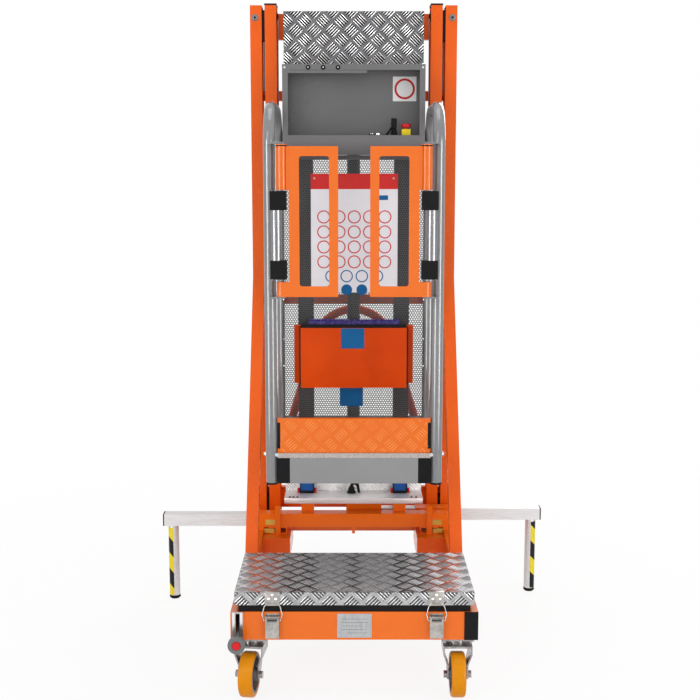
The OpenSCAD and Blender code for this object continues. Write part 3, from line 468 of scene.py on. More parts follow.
zinc = rolled_metal(
    "zinc_plate", (0.58, 0.550, 0.515), (0.32, 0.305, 0.290), 0.30, (9, 9, 9), 0.10
)
rivet_metal = rolled_metal(
    "rivet_metal", (0.90, 0.90, 0.90), (0.78, 0.78, 0.78), 0.20, (5, 5, 5), 0.03
)
# A flat black for the latch slots: painted shade.
slot_shade_black = coating("slot_shade_black", (0.010,) * 3, (0.006,) * 3, 0.6, shine=0.05)
coat(
    zinc, "front_fittings", "latch_lever_left", "latch_lever_right",
    "latch_bail_left", "latch_bail_right",
)
both_sides = ((-1, "left"), (1, "right"))
latch_x, catch_half, rib_half, slot_half = 0.225, 0.0205, 0.0130, 0.0135
catch_front = lid_front - 0.0018
rib_deep = (front - 0.0166, front - 0.0157)
slot_deep = (front - 0.0160, front - 0.0156)
lever_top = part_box("latch_lever_left")[1].z - 0.004
for side, label in both_sides:
    x = side * latch_x
    catch_wide = (x - catch_half, x + catch_half)
    blocks(f"lid_catch_{label}", zinc, "lid", "zinc_steel", (
        (catch_wide, (catch_front, lid_front), (0.262, 0.2975)),
        (catch_wide, (catch_front, lid_front + 0.012), (0.2965, 0.3015)),
    ), 0.0006)
    bm = bmesh.new()
    for dx, z in ((-0.010, 0.281), (0.010, 0.281), (0, 0.2925)):
        rivet(bm, (x + dx, lid_front - 0.0020, z), 0.0042, 0.6, 14, 8)
    piece(f"lid_rivets_{label}", bm, rivet_metal, "lid", "zinc_steel")
    blocks(f"latch_ribs_{label}", zinc, f"latch_lever_{label}", "zinc_steel", [
        ((x - rib_half, x + rib_half), rib_deep, (foot, foot + 0.0014))
        for foot in (lever_top - 0.0050, lever_top - 0.0095)
    ], 0.0003, 1)
    # Each lever's slot is a black block: painted shade for the opening.
    slot_spans = (x - slot_half, x + slot_half), slot_deep, (lever_top - 0.0115, lever_top - 0.0015)
    blocks(
        f"latch_slots_{label}", slot_shade_black, f"latch_lever_{label}", "zinc_steel", [slot_spans],
        smooth=0,
    )


# ---------------------------------------------------- guide plate
# The front beam's left end carries a guide plate for the brake lever. Its bright
# strips are polished steel, one on each side of the slot, between painted rims.
polished = rolled_metal(
    "polished_steel", (0.93, 0.93, 0.94), (0.74, 0.74, 0.76), 0.20, (40, 4, 4), 0.05
)
plate_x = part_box("front_fittings")[0].x
for name, mat, slot, deep, tall, spans in (
    ("guide_strips", polished, "zinc_steel", (front - 0.0030, front - 0.0019),
     (0.1672, 0.2425), ((0.0042, 0.0125), (0.0255, 0.0338))),
    ("slot_rims", light_orange, "orange_paint", (front - 0.0034, front - 0.0018),
     (0.1660, 0.2440), ((0, 0.0036), (0.0344, 0.0380))),
):
    wide = [(plate_x + x0, plate_x + x1) for x0, x1 in spans]
    blocks(name, mat, "chassis", slot, [(x, deep, tall) for x in wide], 0.0004, 1)


# ---------------------------------------------------- rating plate
# A bare aluminium plate on the front beam, held by four drive screws. It is left
# generic: short etched rules without any text.
plate_metal = rolled_metal(
    "plate_metal", (0.54, 0.55, 0.56), (0.38, 0.39, 0.40), 0.38, (60, 6, 6), 0.06
)
plate_front = lid_front - 0.0012
bm = bmesh.new()
block(bm, (-0.0475, 0.0475), (plate_front, lid_front - 0.0001), (0.1700, 0.2390), 0.0004, 1)
for x in (-0.042, 0.042):
    for z in (0.175, 0.234):
        rivet(bm, (x, plate_front, z), 0.0022, 0.5)
piece("rating_plate", bm, plate_metal, "chassis", "zinc_steel")
etched = coating("etched_line", (0.12, 0.12, 0.13), (0.08, 0.08, 0.09), 0.5, 0.02, shine=0.1)
rule_deep, rule_high = (front - 0.0013, front - 0.0011), 0.0009
rules = ((-0.036, 0.036), (-0.036, 0.036), (-0.036, 0.020), (-0.036, 0.028), (-0.020, 0.036))
feet = [0.2235 - 0.0100 * n for n in range(len(rules))]
blocks("rating_plate_rules", etched, "chassis", "zinc_steel", [
    (wide, rule_deep, (foot, foot + rule_high)) for wide, foot in zip(rules, feet)
], smooth=0)


# ---------------------------------------------------- rubber and nylon
# The lid's seal, the rail end pad, the feet and caps are black rubber, and the slide
# pads, pulleys and corner pads are black nylon with a dull moulded skin.
rubber = coating(
    "black_rubber", (0.012, 0.012, 0.013), (0.007, 0.007, 0.008), 0.62, 0.25,
    grain=420, shine=0.08,
)
nylon = coating(
    "black_nylon", (0.011, 0.011, 0.012), (0.006, 0.006, 0.007), 0.46, 0.18,
    grain=600, shine=0.08,
)
coat(rubber, "rubber_trim", "outrigger_ends_left", "outrigger_ends_right")
coat(
    nylon, "mast_pads", "mast_caps", "carriage_pads", "pulley_left", "pulley_right",
    "basket_mouldings", "control_bases", "joystick", "battery_pack",
)


# ---------------------------------------------------- lever grip
# The brake lever ends in a round grip, moulded in grey plastic. A red button is set
# into the middle of its face.
def aim(direction):
    """The turn that takes +Z to a direction."""
    return Vector((0, 0, 1)).rotation_difference(Vector(direction)).to_matrix().to_4x4()


def drum(bm, origin, axis, r0, r1, low, high, sides):
    """A round or hexagonal drum from one radius to another, along an axis."""
    made = bmesh.ops.create_cone(
        bm, cap_ends=True, segments=sides, radius1=r0, radius2=r1, depth=high - low
    )["verts"]
    bmesh.ops.translate(bm, verts=made, vec=(0, 0, (low + high) / 2))
    bmesh.ops.transform(bm, verts=made, matrix=Matrix.Translation(origin) @ aim(axis))


forwards = (0, -1, 0)
grip_grey = coating("grip_grey", (0.16, 0.17, 0.17), (0.12, 0.13, 0.13), 0.48, 0.15)
coat(grip_grey, "brake_lever")
red_plastic = coating("red_plastic", (0.66, 0.012, 0.018), (0.55, 0.010, 0.014), 0.34, 0.05)
button_centre = (-0.320, front - 0.0528, 0.167)
button_half = 0.0017
bm = bmesh.new()
drum(bm, button_centre, forwards, 0.0122, 0.0110, -button_half, button_half, 48)
piece("grip_button", bm, red_plastic, "brake_lever", "stop_red")


# ---------------------------------------------------- casters and wheels
# Amber polyurethane treads are cast on grey iron centres. The forks are pressed,
# zinc plated steel on a ball race, bolted through a square plate.
def screw(bm, centre, direction, radius, head=None, sides=6):
    """A washer with a hexagon or round head on it."""
    washer, taper = radius * 0.22, 0.94
    top = washer + (head or radius * 0.7)
    drum(bm, centre, direction, radius * 1.35, radius * 1.35 * taper, 0, washer, 24)
    drum(bm, centre, direction, radius, radius * taper, washer, top, sides)


amber = coating(
    "amber_polyurethane", (0.74, 0.270, 0.003), (0.62, 0.215, 0.002), 0.34, 0.06,
    spread=14, shine=0.10,
)
feed(amber.node_tree, amber.node_tree.nodes["Principled BSDF"], {"Coat Weight": 0.05})
iron = coating("wheel_iron", (0.15, 0.15, 0.16), (0.10, 0.10, 0.11), 0.5, 0.3, grain=300)
coat(amber, "tyre_left", "tyre_right", "rear_wheel_left", "rear_wheel_right")
fork_zinc = rolled_metal(
    "fork_zinc", (0.50, 0.475, 0.470), (0.20, 0.190, 0.190), 0.22, (16, 16, 16), 0.10
)
coat(fork_zinc, "caster_plates", "rear_forks", "caster_fork_left", "caster_fork_right")
coat(iron, "wheel_core_left", "wheel_core_right")
caster_at, rear_at = (0.285, front + 0.045), (0.256, front + 0.850)
plate_foot, bolt_out = 0.159, 0.036
for side, label in both_sides:
    bm = bmesh.new()
    for dx in (-bolt_out, bolt_out):
        for dy in (-bolt_out, bolt_out):
            for x, y in (caster_at, rear_at):
                screw(bm, (side * x + dx, y + dy, plate_foot), (0, 0, -1), 0.0062)
    piece(f"caster_bolts_{label}", bm, zinc, "chassis", "zinc_steel", smooth=0)


# ---------------------------------------------------- outriggers
# The arms are square aluminium tube with a round leg welded under the end. Each
# leg has a strip of yellow and black tape down its outer side.
satin_alloy = rolled_metal(
    "satin_alloy", (0.66, 0.645, 0.645), (0.55, 0.53, 0.53), 0.42, (3, 40, 40), 0.06
)
coat(satin_alloy, "outrigger_arm_left", "outrigger_arm_right")
tape, tree, shader = material("yellow_black_tape")
place = node(tree, "TexCoord").outputs["Object"]
at = node(tree, "SeparateXYZ", {"Vector": place}).outputs
slope, stripe_high = 1.1, 0.0275
climb = maths(tree, "MULTIPLY_ADD", at["X"], slope, at["Z"])
bands = maths(tree, "PINGPONG", climb, 2 * stripe_high)
black = maths(tree, "GREATER_THAN", bands, stripe_high)
tint = two_tone(tree, black, (0.82, 0.66, 0.02), (0.012, 0.012, 0.013), 0.0, 0.5)
tint.node.color_ramp.interpolation = "CONSTANT"
feed(tree, shader, {"Base Color": tint, "Roughness": 0.38, "Specular IOR Level": 0.15})
weave = node(tree, "TexNoise", {"Vector": place, "Scale": 900})
emboss(tree, weave.outputs["Fac"], 0.1, 0.0003)
leg_x, tape_foot, tape_long, tape_radius = 0.608, 0.0135, 0.236, 0.01765
# The tape covers the outer half of the leg, short of its back.
for (side, label), leg_y in zip(both_sides, (front + 0.780, front + 0.852)):
    bm = bmesh.new()
    arc = bmesh.ops.create_circle(bm, segments=96, radius=tape_radius)["verts"]
    bare = [v for v in arc if v.co.x < -0.0005 or v.co.y > 0.0156]
    bmesh.ops.delete(bm, geom=bare, context="VERTS")
    made = bmesh.ops.extrude_edge_only(bm, edges=bm.edges[:])["geom"]
    bmesh.ops.translate(bm, verts=only(BMVert, made), vec=(0, 0, tape_long))
    bmesh.ops.solidify(bm, geom=bm.faces[:], thickness=-0.0003)
    if side < 0:
        bmesh.ops.mirror(bm, geom=whole(bm), axis="X", merge_dist=-1)
        bare = [v for v in bm.verts if v.co.x > 0.0008]
        bmesh.ops.delete(bm, geom=bare, context="VERTS")
    bmesh.ops.translate(bm, verts=bm.verts[:], vec=(side * leg_x, leg_y, tape_foot))
    bmesh.ops.recalc_face_normals(bm, faces=bm.faces[:])
    piece(f"leg_tape_{label}", bm, tape, f"outrigger_{label}", "alloy")


# ---------------------------------------------------- column screws
# Steel screws with a chamfered round head and a black hexagon socket hold the slide
# pads in the outer columns.
grab_steel = rolled_metal(
    "grab_steel", (0.30, 0.30, 0.31), (0.15, 0.15, 0.16), 0.24, (40, 40, 2), 0.03
)
bright = rolled_metal(
    "bright_steel", (0.78, 0.78, 0.79), (0.62, 0.62, 0.63), 0.20, (5, 5, 5), 0.04
)
mast_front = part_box("mast_outer")[0].y
head, tall, socket = 0.0090, 0.0060, 0.0044
flange = tall * 0.25
metal, hollow = bmesh.new(), bmesh.new()
for side in (-1, 1):
    centre = (side * 0.3235, mast_front, 1.9355)
    drum(metal, centre, forwards, head * 1.25, head * 1.22, 0, flange, 28)
    drum(metal, centre, forwards, head, head * 0.86, flange, tall, 28)
    drum(hollow, centre, forwards, socket, socket, tall * 0.9, tall + 0.0003, 6)
piece("column_screws", metal, grab_steel, "chassis", "chrome")
piece("column_screw_sockets", hollow, nylon, "chassis", "control_black", smooth=0)


# ---------------------------------------------------- wire ropes
# Two stranded wire ropes run from their anchors over the pulleys and down to the
# carriage. A screw thread of light and dark shows their strands.
rope, tree, shader = material("wire_rope")
place = node(tree, "TexCoord").outputs["Object"]
twist = node(tree, "Mapping", {"Vector": place, "Rotation": (0, radians(32), 0)})
lay = node(tree, "TexWave", {"Vector": twist.outputs["Vector"], "Scale": 160})
lay.wave_type = "BANDS"
lay.bands_direction = "Z"
strands = two_tone(tree, lay.outputs["Fac"], (0.12,) * 3, (0.60,) * 3, 0.0, 1.0)
feed(tree, shader, {"Metallic": 1.0, "Roughness": 0.38, "Base Color": strands})
emboss(tree, lay.outputs["Fac"], 0.6, 0.0005)
coat(rope, "rope_bends")
rope_y, rope_top, rope_radius = front + 0.945, 1.944, 0.002
steps = 24
for run, x, foot in (("rope_anchor_runs", 0.297, 1.700), ("rope_carriage_runs", 0.251, 0.605)):
    rise = (0, 0, (rope_top - foot) / steps)
    bm = bmesh.new()
    for side in (-1, 1):
        ring = bmesh.ops.create_circle(bm, segments=12, radius=rope_radius)["verts"]
        bmesh.ops.translate(bm, verts=ring, vec=(side * x, rope_y, foot))
        edges = list({e for v in ring for e in v.link_edges})
        for _ in range(steps):
            made = bmesh.ops.extrude_edge_only(bm, edges=edges)["geom"]
            bmesh.ops.translate(bm, verts=only(BMVert, made), vec=rise)
            edges = only(BMEdge, made)
    bmesh.ops.holes_fill(bm, edges=bm.edges[:], sides=0)
    bmesh.ops.recalc_face_normals(bm, faces=bm.faces[:])
    made = solid(run + "_wire", bm, rope)
    made.data.shade_smooth()
    if run == "rope_anchor_runs":
        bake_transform(made)
    else:
        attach(made, "mast_inner")
        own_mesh(made)
    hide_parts(run)


# ---------------------------------------------------- lift cylinder and drive
# The cylinder barrel, the power unit and the carriage's uprights are painted dark
# grey, and the rod is hard chromed.
dark_grey = coating("dark_grey_paint", (0.040, 0.040, 0.042), (0.028, 0.028, 0.030), 0.42)
coat(dark_grey, "lift_cylinder", "power_unit", "carriage_frame", "carriage_uprights")
coat(bright, "cylinder_rod", "push_button")


# ---------------------------------------------------- basket tubes
# The hoops are bent from grey painted steel tube, and the fascia below the floor is a
# folded sheet in a lighter grey. Bright screws and rivets stand beside the tubes.
tube_grey = coating(
    "grey_tube_paint", (0.205, 0.208, 0.214), (0.170, 0.173, 0.180), 0.14, 0.02,
    metallic=0.1, shine=1.0,
)
coat(tube_grey, "basket_hoops")
sheet_grey = coating("grey_sheet_paint", (0.280, 0.280, 0.283), (0.255, 0.255, 0.258), 0.36)
coat(sheet_grey, "fascia")
hoop_front, hoop_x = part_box("basket_hoops")[0].y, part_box("basket_hoops")[1].x
screw_z, rivet_heights = 0.6050, (0.80, 0.89, 1.02, 1.40)
bm = bmesh.new()
for side in (-1, 1):
    outer = (side * (hoop_x - 0.0005), hoop_front + 0.0175, screw_z)
    screw(bm, outer, (side, 0, 0), 0.0055, 0.004)
    screw(bm, (side * (hoop_x - 0.0345), hoop_front + 0.004, screw_z), forwards, 0.0042, 0.003)
    for z in rivet_heights:
        rivet(bm, (side * 0.2300, front + 0.7765, z), 0.0030, sides=10)
piece("tube_screws", bm, bright, "carriage", "chrome", smooth=0)


# ---------------------------------------------------- back panel
# The basket's back is a steel sheet, punched with small staggered holes and painted
# dark. Plain borders frame it on all four sides.
panel_low, panel_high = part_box("mesh_panel")
pitch, margin, sheet = 0.0081, 0.007, 0.0015
row_step, web = pitch * 0.8660254, pitch * 0.22
holes_wide = int((panel_high.x - panel_low.x - 2 * margin) / pitch)
pairs_high = int((panel_high.z - panel_low.z - 2 * margin) / row_step / 2)
panel_paint = coating(
    "panel_paint", (0.120, 0.120, 0.124), (0.095, 0.095, 0.098), 0.45, shine=0.15
)
first_x = -(holes_wide - 0.5) * pitch / 2
first_z = (panel_low.z + panel_high.z) / 2 - (pairs_high - 0.5) * row_step
half_high = pairs_high // 2
# Two rows of six-sided cells make a pair, and each cell loses its middle.
for label, first, count in (("lower", 0, half_high), ("upper", half_high, pairs_high - half_high)):
    bm = bmesh.new()
    for column, row in ((0, 0), (0.5, 1)):
        cell = bmesh.ops.create_circle(bm, cap_ends=True, segments=6, radius=pitch / 3 ** 0.5)
        turn = Matrix.Rotation(radians(30), 3, "Z")
        bmesh.ops.rotate(bm, verts=cell["verts"], cent=(0, 0, 0), matrix=turn)
        bmesh.ops.translate(bm, verts=cell["verts"], vec=(column * pitch, row * row_step, 0))
    bmesh.ops.inset_individual(bm, faces=bm.faces[:], thickness=web)
    holes = [f for f in bm.faces if len(f.verts) == 6]
    bmesh.ops.delete(bm, geom=holes, context="FACES_ONLY")
    repeat(bm, (pitch, 0, 0), holes_wide)
    repeat(bm, (0, 2 * row_step, 0), count)
    bmesh.ops.remove_doubles(bm, verts=bm.verts[:], dist=0.0001)
    upright = Matrix.Rotation(radians(90), 3, "X")
    bmesh.ops.rotate(bm, verts=bm.verts[:], cent=(0, 0, 0), matrix=upright)
    corner = (first_x, panel_low.y, first_z + 2 * row_step * first)
    bmesh.ops.translate(bm, verts=bm.verts[:], vec=corner)
    bmesh.ops.solidify(bm, geom=bm.faces[:], thickness=sheet)
    bmesh.ops.recalc_face_normals(bm, faces=bm.faces[:])
    piece(
        f"perforated_sheet_{label}", bm, panel_paint, "carriage", "dark_grey_paint", "mesh_panel",
        smooth=0,
    )

border_x, border_z = 0.014, 0.015
panel_wide, panel_tall = (panel_low.x, panel_high.x), (panel_low.z, panel_high.z)
border_deep = (panel_low.y - 0.0002, panel_high.y)
blocks("panel_border", panel_paint, "carriage", "dark_grey_paint", (
    (panel_wide, border_deep, (panel_low.z, panel_low.z + border_z)),
    (panel_wide, border_deep, (panel_high.z - border_z, panel_high.z)),
    ((panel_low.x, panel_low.x + border_x), border_deep, panel_tall),
    ((panel_high.x - border_x, panel_high.x), border_deep, panel_tall),
), 0.0003, 1, smooth=0)


# ---------------------------------------------------- sign board
# A white plastic board is riveted to the back panel. It is left generic: a red band
# over rows of plain rings and discs, all printed.
board_white = coating("board_white", (0.80, 0.79, 0.83), (0.74, 0.73, 0.78), 0.40, 0.02)
sign_red = coating("sign_red", (0.62, 0.022, 0.020), (0.55, 0.018, 0.016), 0.40, 0.02)
sign_blue = coating(
    "sign_blue", (0.008, 0.120, 0.320), (0.006, 0.100, 0.275), 0.40, 0.02, shine=0.12
)
board_front = panel_low.y - 0.0022
print_front = board_front - 0.0003
board_wide, board_top = (-0.1400, 0.1440), 1.4300
panel_face = panel_low.y - 0.0001
blocks("sign_board", board_white, "carriage", "grey_paint", (
    (board_wide, (board_front, panel_face), (1.0420, board_top)),
), 0.0008)


def ring_mark(bm, x, y, z, outer, inner):
    """A thin printed ring, or a disc where the inner radius is zero."""
    mark = bmesh.ops.create_circle(bm, cap_ends=True, segments=40, radius=outer)["verts"]
    face = list({f for v in mark for f in v.link_faces})
    verts = list(mark)
    if inner:
        made = bmesh.ops.inset_individual(bm, faces=face, thickness=outer - inner)["faces"]
        verts += [v for f in made for v in f.verts]
        bmesh.ops.delete(bm, geom=face, context="FACES_ONLY")
    verts = list(set(verts))
    upright = Matrix.Rotation(radians(90), 3, "X")
    bmesh.ops.rotate(bm, verts=verts, cent=(0, 0, 0), matrix=upright)
    bmesh.ops.translate(bm, verts=verts, vec=(x, y, z))


mark_step, row_drop = 0.0500, 0.0490
bm = bmesh.new()
block(bm, board_wide, (print_front, board_front + 0.0005), (1.3800, board_top), 0.0001, 1)
for row in range(4):
    for column in range(5):
        x, z = -0.098 + mark_step * column, 1.2900 - row_drop * row
        ring_mark(bm, x, print_front, z, 0.0215, 0.0178)
piece("sign_red_marks", bm, sign_red, "carriage", "stop_red", smooth=0)
bm = bmesh.new()
for z, outer, inner in ((1.0960, 0.0205, 0.0168), (1.0510, 0.0180, 0)):
    for column in range(4):
        ring_mark(bm, -0.073 + mark_step * column, print_front, z, outer, inner)
block(bm, (0.070, 0.112), (print_front, board_front + 0.0003), (1.3450, 1.3600), 0.0001, 1)
piece("sign_blue_marks", bm, sign_blue, "carriage", "buffer_blue", smooth=0)
bm = bmesh.new()
for x in (-0.128, 0.130):
    for z in (1.4150, 1.0550):
        screw(bm, (x, board_front, z), forwards, 0.0028, 0.002, 20)
piece("sign_rivets", bm, zinc, "carriage", "zinc_steel")


# ---------------------------------------------------- document pocket
# The pocket is a folded sheet box in a redder orange with black edging along its top,
# and painted shade at its sides. Booklets stand in it, and plain blue labels are
# stuck on its front and on the back panel.
pocket_paint = coating(
    "pocket_paint", (0.740, 0.072, 0.004), (0.580, 0.048, 0.003), 0.30, spread=3.0, shine=0.08
)
coat(pocket_paint, "document_box")
pocket_low, pocket_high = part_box("document_box")
pocket_front, pocket_foot, booklet_thick = pocket_low.y, pocket_low.z + 0.010, 0.006
booklet = coating(
    "booklet_cover", (0.026, 0.015, 0.150), (0.120, 0.095, 0.280), 0.4, 0.02,
    spread=110, shine=0.1,
)
blocks("booklets", booklet, "carriage", "buffer_blue", [
    (wide, (pocket_front + back, pocket_front + back + booklet_thick),
     (pocket_foot, pocket_high.z + out))
    for wide, back, out in (
        ((-0.148, 0.148), 0.016, 0.016), ((-0.148, -0.012), 0.025, 0.022),
        ((-0.002, 0.150), 0.027, 0.021),
    )
], 0.001)
gap_shade_tall = (pocket_foot, pocket_high.z - 0.004)
gap_shade_deep = (pocket_front + 0.0020, panel_low.y - 0.0005)
# The top strip is black edging. The two side strips are painted shade: dark blocks in the gaps
# beside the pocket's front.
blocks("pocket_edging_and_shade", rubber, "carriage", "seal_rubber", (
    ((-0.1725, 0.1725), (pocket_front + 0.0030, pocket_front + 0.0080),
     (pocket_high.z - 0.030, pocket_high.z + 0.007)),
    (beside(-1, 0.1735, 0.1785), gap_shade_deep, gap_shade_tall),
    (beside(1, 0.1735, 0.1785), gap_shade_deep, gap_shade_tall),
), 0.001)
label_deep = (pocket_front - 0.0005, pocket_front - 0.0001)
bm = bmesh.new()
block(bm, (-0.0415, 0.0350), label_deep, (0.862, 0.9290), 0.0001, 1)
block(bm, (-0.0460, 0.0310), (panel_low.y - 0.0020, panel_face), (0.660, 0.7270), 0.0004, 1)
piece("plain_labels", bm, sign_blue, "carriage", "buffer_blue", smooth=0)


# ---------------------------------------------------- toe board
# The toe board is painted tread plate, so its bars show softly through the paint.
# Black blocks at its ends are painted shade for the cavity behind them, and the gates share its
# light orange.
coat(light_orange, "toe_board", "gate_left", "gate_right")
toe_low, toe_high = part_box("toe_board")
# The bars are a lighter, paler orange than the board: a painted highlight along them.
highlight_orange = coating(
    "highlight_orange_coat", (0.90, 0.300, 0.060), (0.840, 0.150, 0.006), 0.22, spread=9, shine=0.5
)
toe_half, hem = 0.219, 0.003
tread_bars(
    "toe_board_bars", "carriage", "orange_paint", highlight_orange,
    (-toe_half, toe_low.y, toe_low.z + hem), to_right, upwards,
    2 * toe_half, toe_high.z - toe_low.z - 2 * hem, 0.0009, 0.0150,
)
# The black end blocks are painted shade, dark pieces standing in the gaps behind the board's
# notches.
end_deep = (toe_low.y + 0.0040, toe_low.y + 0.0180)
end_tall = (toe_low.z + 0.0125, toe_high.z - 0.0125)
blocks("toe_board_end_shade", rubber, "carriage", "seal_rubber", [
    (beside(side, 0.2215, 0.2292), end_deep, end_tall) for side in (-1, 1)
], 0.001)


# ---------------------------------------------------- basket floor
# The floor behind the toe board is bare aluminium tread plate, folded down along
# its front edge.
floor_low, floor_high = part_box("basket_floor")
floor_sheet = rolled_metal(
    "floor_sheet", (0.62, 0.57, 0.555), (0.34, 0.29, 0.27), 0.24, (60, 60, 60)
)
coat(floor_sheet, "basket_floor")
tread_bars(
    "floor_bars", "carriage", "tread_aluminium", tread_bar_metal,
    (floor_low.x, floor_low.y + 0.022, floor_high.z), to_right, to_back,
    floor_high.x - floor_low.x, floor_high.y - floor_low.y - 0.024,
)


# ---------------------------------------------------- top plate
# A flat piece of bare aluminium tread plate stands above the control box. Its bars
# are rolled a little thinner than those of the lid.
top_low, top_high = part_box("top_plate")
tread_bars(
    "top_plate_bars", "carriage", "tread_aluminium", tread_bar_metal, tuple(top_low),
    to_right, upwards, top_high.x - top_low.x, top_high.z - top_low.z, thick=0.0015,
)


# ---------------------------------------------------- base cover
# The cover at the mast's foot is pale tread plate, folded down along its front edge
# and up at its back, which carries the bars.
cover_low, cover_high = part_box("base_cover")
cover_step = 0.346
pale_sheet = rolled_metal(
    "pale_tread_sheet", (0.98, 0.975, 0.97), (0.92, 0.91, 0.91), 0.52, (8, 8, 8), metallic=0.6
)
pale_bars = rolled_metal(
    "pale_tread_bars", (0.60, 0.59, 0.59), (0.44, 0.43, 0.43), 0.30, (8, 8, 8), metallic=0.9
)
coat(pale_sheet, "base_cover")
tread_bars(
    "base_cover_bars", "chassis", "tread_aluminium", pale_bars,
    (cover_low.x, cover_high.y - 0.003, cover_step), to_right, upwards,
    cover_high.x - cover_low.x, cover_high.z - cover_step,
)


# ---------------------------------------------------- grab handles
# A bright drawn steel tube spans the two black end blocks of each handle, one on
# each side of the basket.
grab_radius, grab_foot, grab_top = 0.0164, 1.1825, 1.3275
bm = bmesh.new()
for side in (-1, 1):
    centre = (side * 0.225, front + 0.335, 0)
    drum(bm, centre, upwards, grab_radius, grab_radius, grab_foot, grab_top, 40)
piece("grab_tubes", bm, grab_steel, "carriage", "chrome")


# ---------------------------------------------------- gates
# Each gate is a flame cut plate with a window, welded to a sprung hinge barrel that
# has a black cap.
for side, label in both_sides:
    bm = bmesh.new()
    barrel = (side * 0.209, front + 0.338, 0)
    drum(bm, barrel, upwards, 0.0172, 0.0160, 1.5090, 1.5150, 36)
    piece(f"barrel_cap_{label}", bm, nylon, f"gate_{label}", "black_plastic")


# ---------------------------------------------------- control box
# A grey sheet box with a turned edge round its mouth. Three cable glands come through
# the top edge, and a plain sign with a red ring is stuck inside.
box_low, box_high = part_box("control_box")
box_grey = coating(
    "box_paint", (0.180, 0.179, 0.182), (0.150, 0.149, 0.152), 0.30, 0.05,
    metallic=0.2, spread=2.5,
)
coat(box_grey, "control_box")
# The panel under the box's shelf darkens towards its foot: painted shade.
tree = box_grey.node_tree
height = node(tree, "SeparateXYZ", {0: node(tree, "TexCoord").outputs["Object"]}).outputs["Z"]
spans = {"From Min": 1.535, "From Max": 1.490, "To Min": 0.0, "To Max": 1.0}
painted_shade_below_shelf = node(tree, "MapRange", {"Value": height, **spans}).outputs["Result"]
shade_over(tree, painted_shade_below_shelf, (0.105, 0.103, 0.105))
lip_z = box_high.z - 0.010
ring, middle = bmesh.new(), bmesh.new()
glands_x, screws_x = (-0.145, -0.097, -0.050), (-0.220, 0.220)
for x in glands_x:
    screw(ring, (x, box_low.y, lip_z), forwards, 0.0056, 0.0030, 24)
    screw(middle, (x, box_low.y - 0.0035, lip_z), forwards, 0.0024, 0.0016, 16)
for x in screws_x:
    screw(middle, (x, box_low.y, lip_z), forwards, 0.0028, 0.0016, 16)
piece("gland_rings", ring, nylon, "carriage", "control_black", smooth=0)
piece("gland_cores", middle, bright, "carriage", "chrome", smooth=0)
fold_deep = (box_low.y + 0.0002, box_low.y + 0.0016)
fold_tall = (box_high.z - 0.0280, box_high.z - 0.0190)
blocks("box_lip_fold", box_grey, "carriage", "dark_grey_paint", (
    ((-0.212, 0.042), fold_deep, fold_tall),
), 0.0003, 1, smooth=0)
back_y = box_high.y - 0.002
sign_paper = coating("sign_paper", (0.95, 0.95, 0.96), (0.90, 0.90, 0.91), 0.5, 0.02)
blocks("box_sign", sign_paper, "carriage", "grey_paint", (
    ((0.128, 0.205), (back_y - 0.0010, back_y - 0.0001), (1.6640, 1.7430)),
), 0.0002, 1, smooth=0)
bm = bmesh.new()
ring_mark(bm, 0.1665, back_y - 0.0013, 1.7035, 0.0335, 0.0265)
piece("box_sign_ring", bm, sign_red, "carriage", "stop_red", smooth=0)


# ---------------------------------------------------- stop button
# The emergency stop is a red button of moulded plastic. It sits in a square yellow
# collar round the top of its base.
coat(red_plastic, "stop_button")
yellow = coating("yellow_plastic", (0.94, 0.72, 0.010), (0.86, 0.64, 0.008), 0.36, 0.05)
control_y = front + 0.790
base_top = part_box("control_bases")[1].z
collar_half = 0.0144
collar_deep = (control_y - collar_half, control_y + collar_half)
blocks("stop_collar", yellow, "carriage", "stop_red", (
    ((0.1546, 0.1834), collar_deep, (base_top - 0.0260, base_top + 0.0003)),
), 0.0016)


# ---------------------------------------------------- joystick
# A folded rubber boot seals the foot of the stick, and a moulded black nylon knob
# tops it. Both tip with the stick.
boot_foot, boot_top, stick_x, folds = 1.5350, 1.5720, 0.130, 8
bm = bmesh.new()
bmesh.ops.create_cone(
    bm, cap_ends=False, segments=28, radius1=0.0120, radius2=0.0072, depth=boot_top - boot_foot
)
bmesh.ops.translate(bm, verts=bm.verts[:], vec=(0, 0, (boot_foot + boot_top) / 2))
slants = [e for e in bm.edges if e.calc_length() > 0.02]
bmesh.ops.subdivide_edges(bm, edges=slants, cuts=folds - 1)
fold_step = (boot_top - boot_foot) / folds
crests = [v for v in bm.verts if round((v.co.z - boot_foot) / fold_step) % 2]
bmesh.ops.scale(bm, verts=crests, vec=(1.2, 1.2, 1))
bmesh.ops.translate(bm, verts=bm.verts[:], vec=(stick_x, control_y, 0))
bmesh.ops.solidify(bm, geom=bm.faces[:], thickness=0.0008)
bmesh.ops.recalc_face_normals(bm, faces=bm.faces[:])
piece("joystick_boot", bm, rubber, "joystick", "control_black")
knob_half = 0.0090
knob_wide = (stick_x - knob_half, stick_x + knob_half)
knob_deep = (control_y - knob_half, control_y + knob_half)
blocks("joystick_knob", nylon, "joystick", "control_black", (
    (knob_wide, knob_deep, (1.5830, 1.6065)),
), 0.0030, 3)


# ---------------------------------------------------- switches
# Two round fittings stand on either side of the push button, one of them on the
# lamp's base. Each has a black moulded lens in a ring of steel.
metal, hollow = bmesh.new(), bmesh.new()
for x, top in ((0.058, 1.5560), (0.098, 1.5500)):
    for bm, radius, drop, rise in ((metal, 0.0088, 0.012, 0.0030), (hollow, 0.0062, 0, 0.0042)):
        drum(bm, (x, control_y, top), upwards, radius, radius * 0.94, -drop, rise, 28)
piece("switch_bezels", metal, grab_steel, "carriage", "chrome")
piece("switch_lenses", hollow, nylon, "carriage", "control_black")


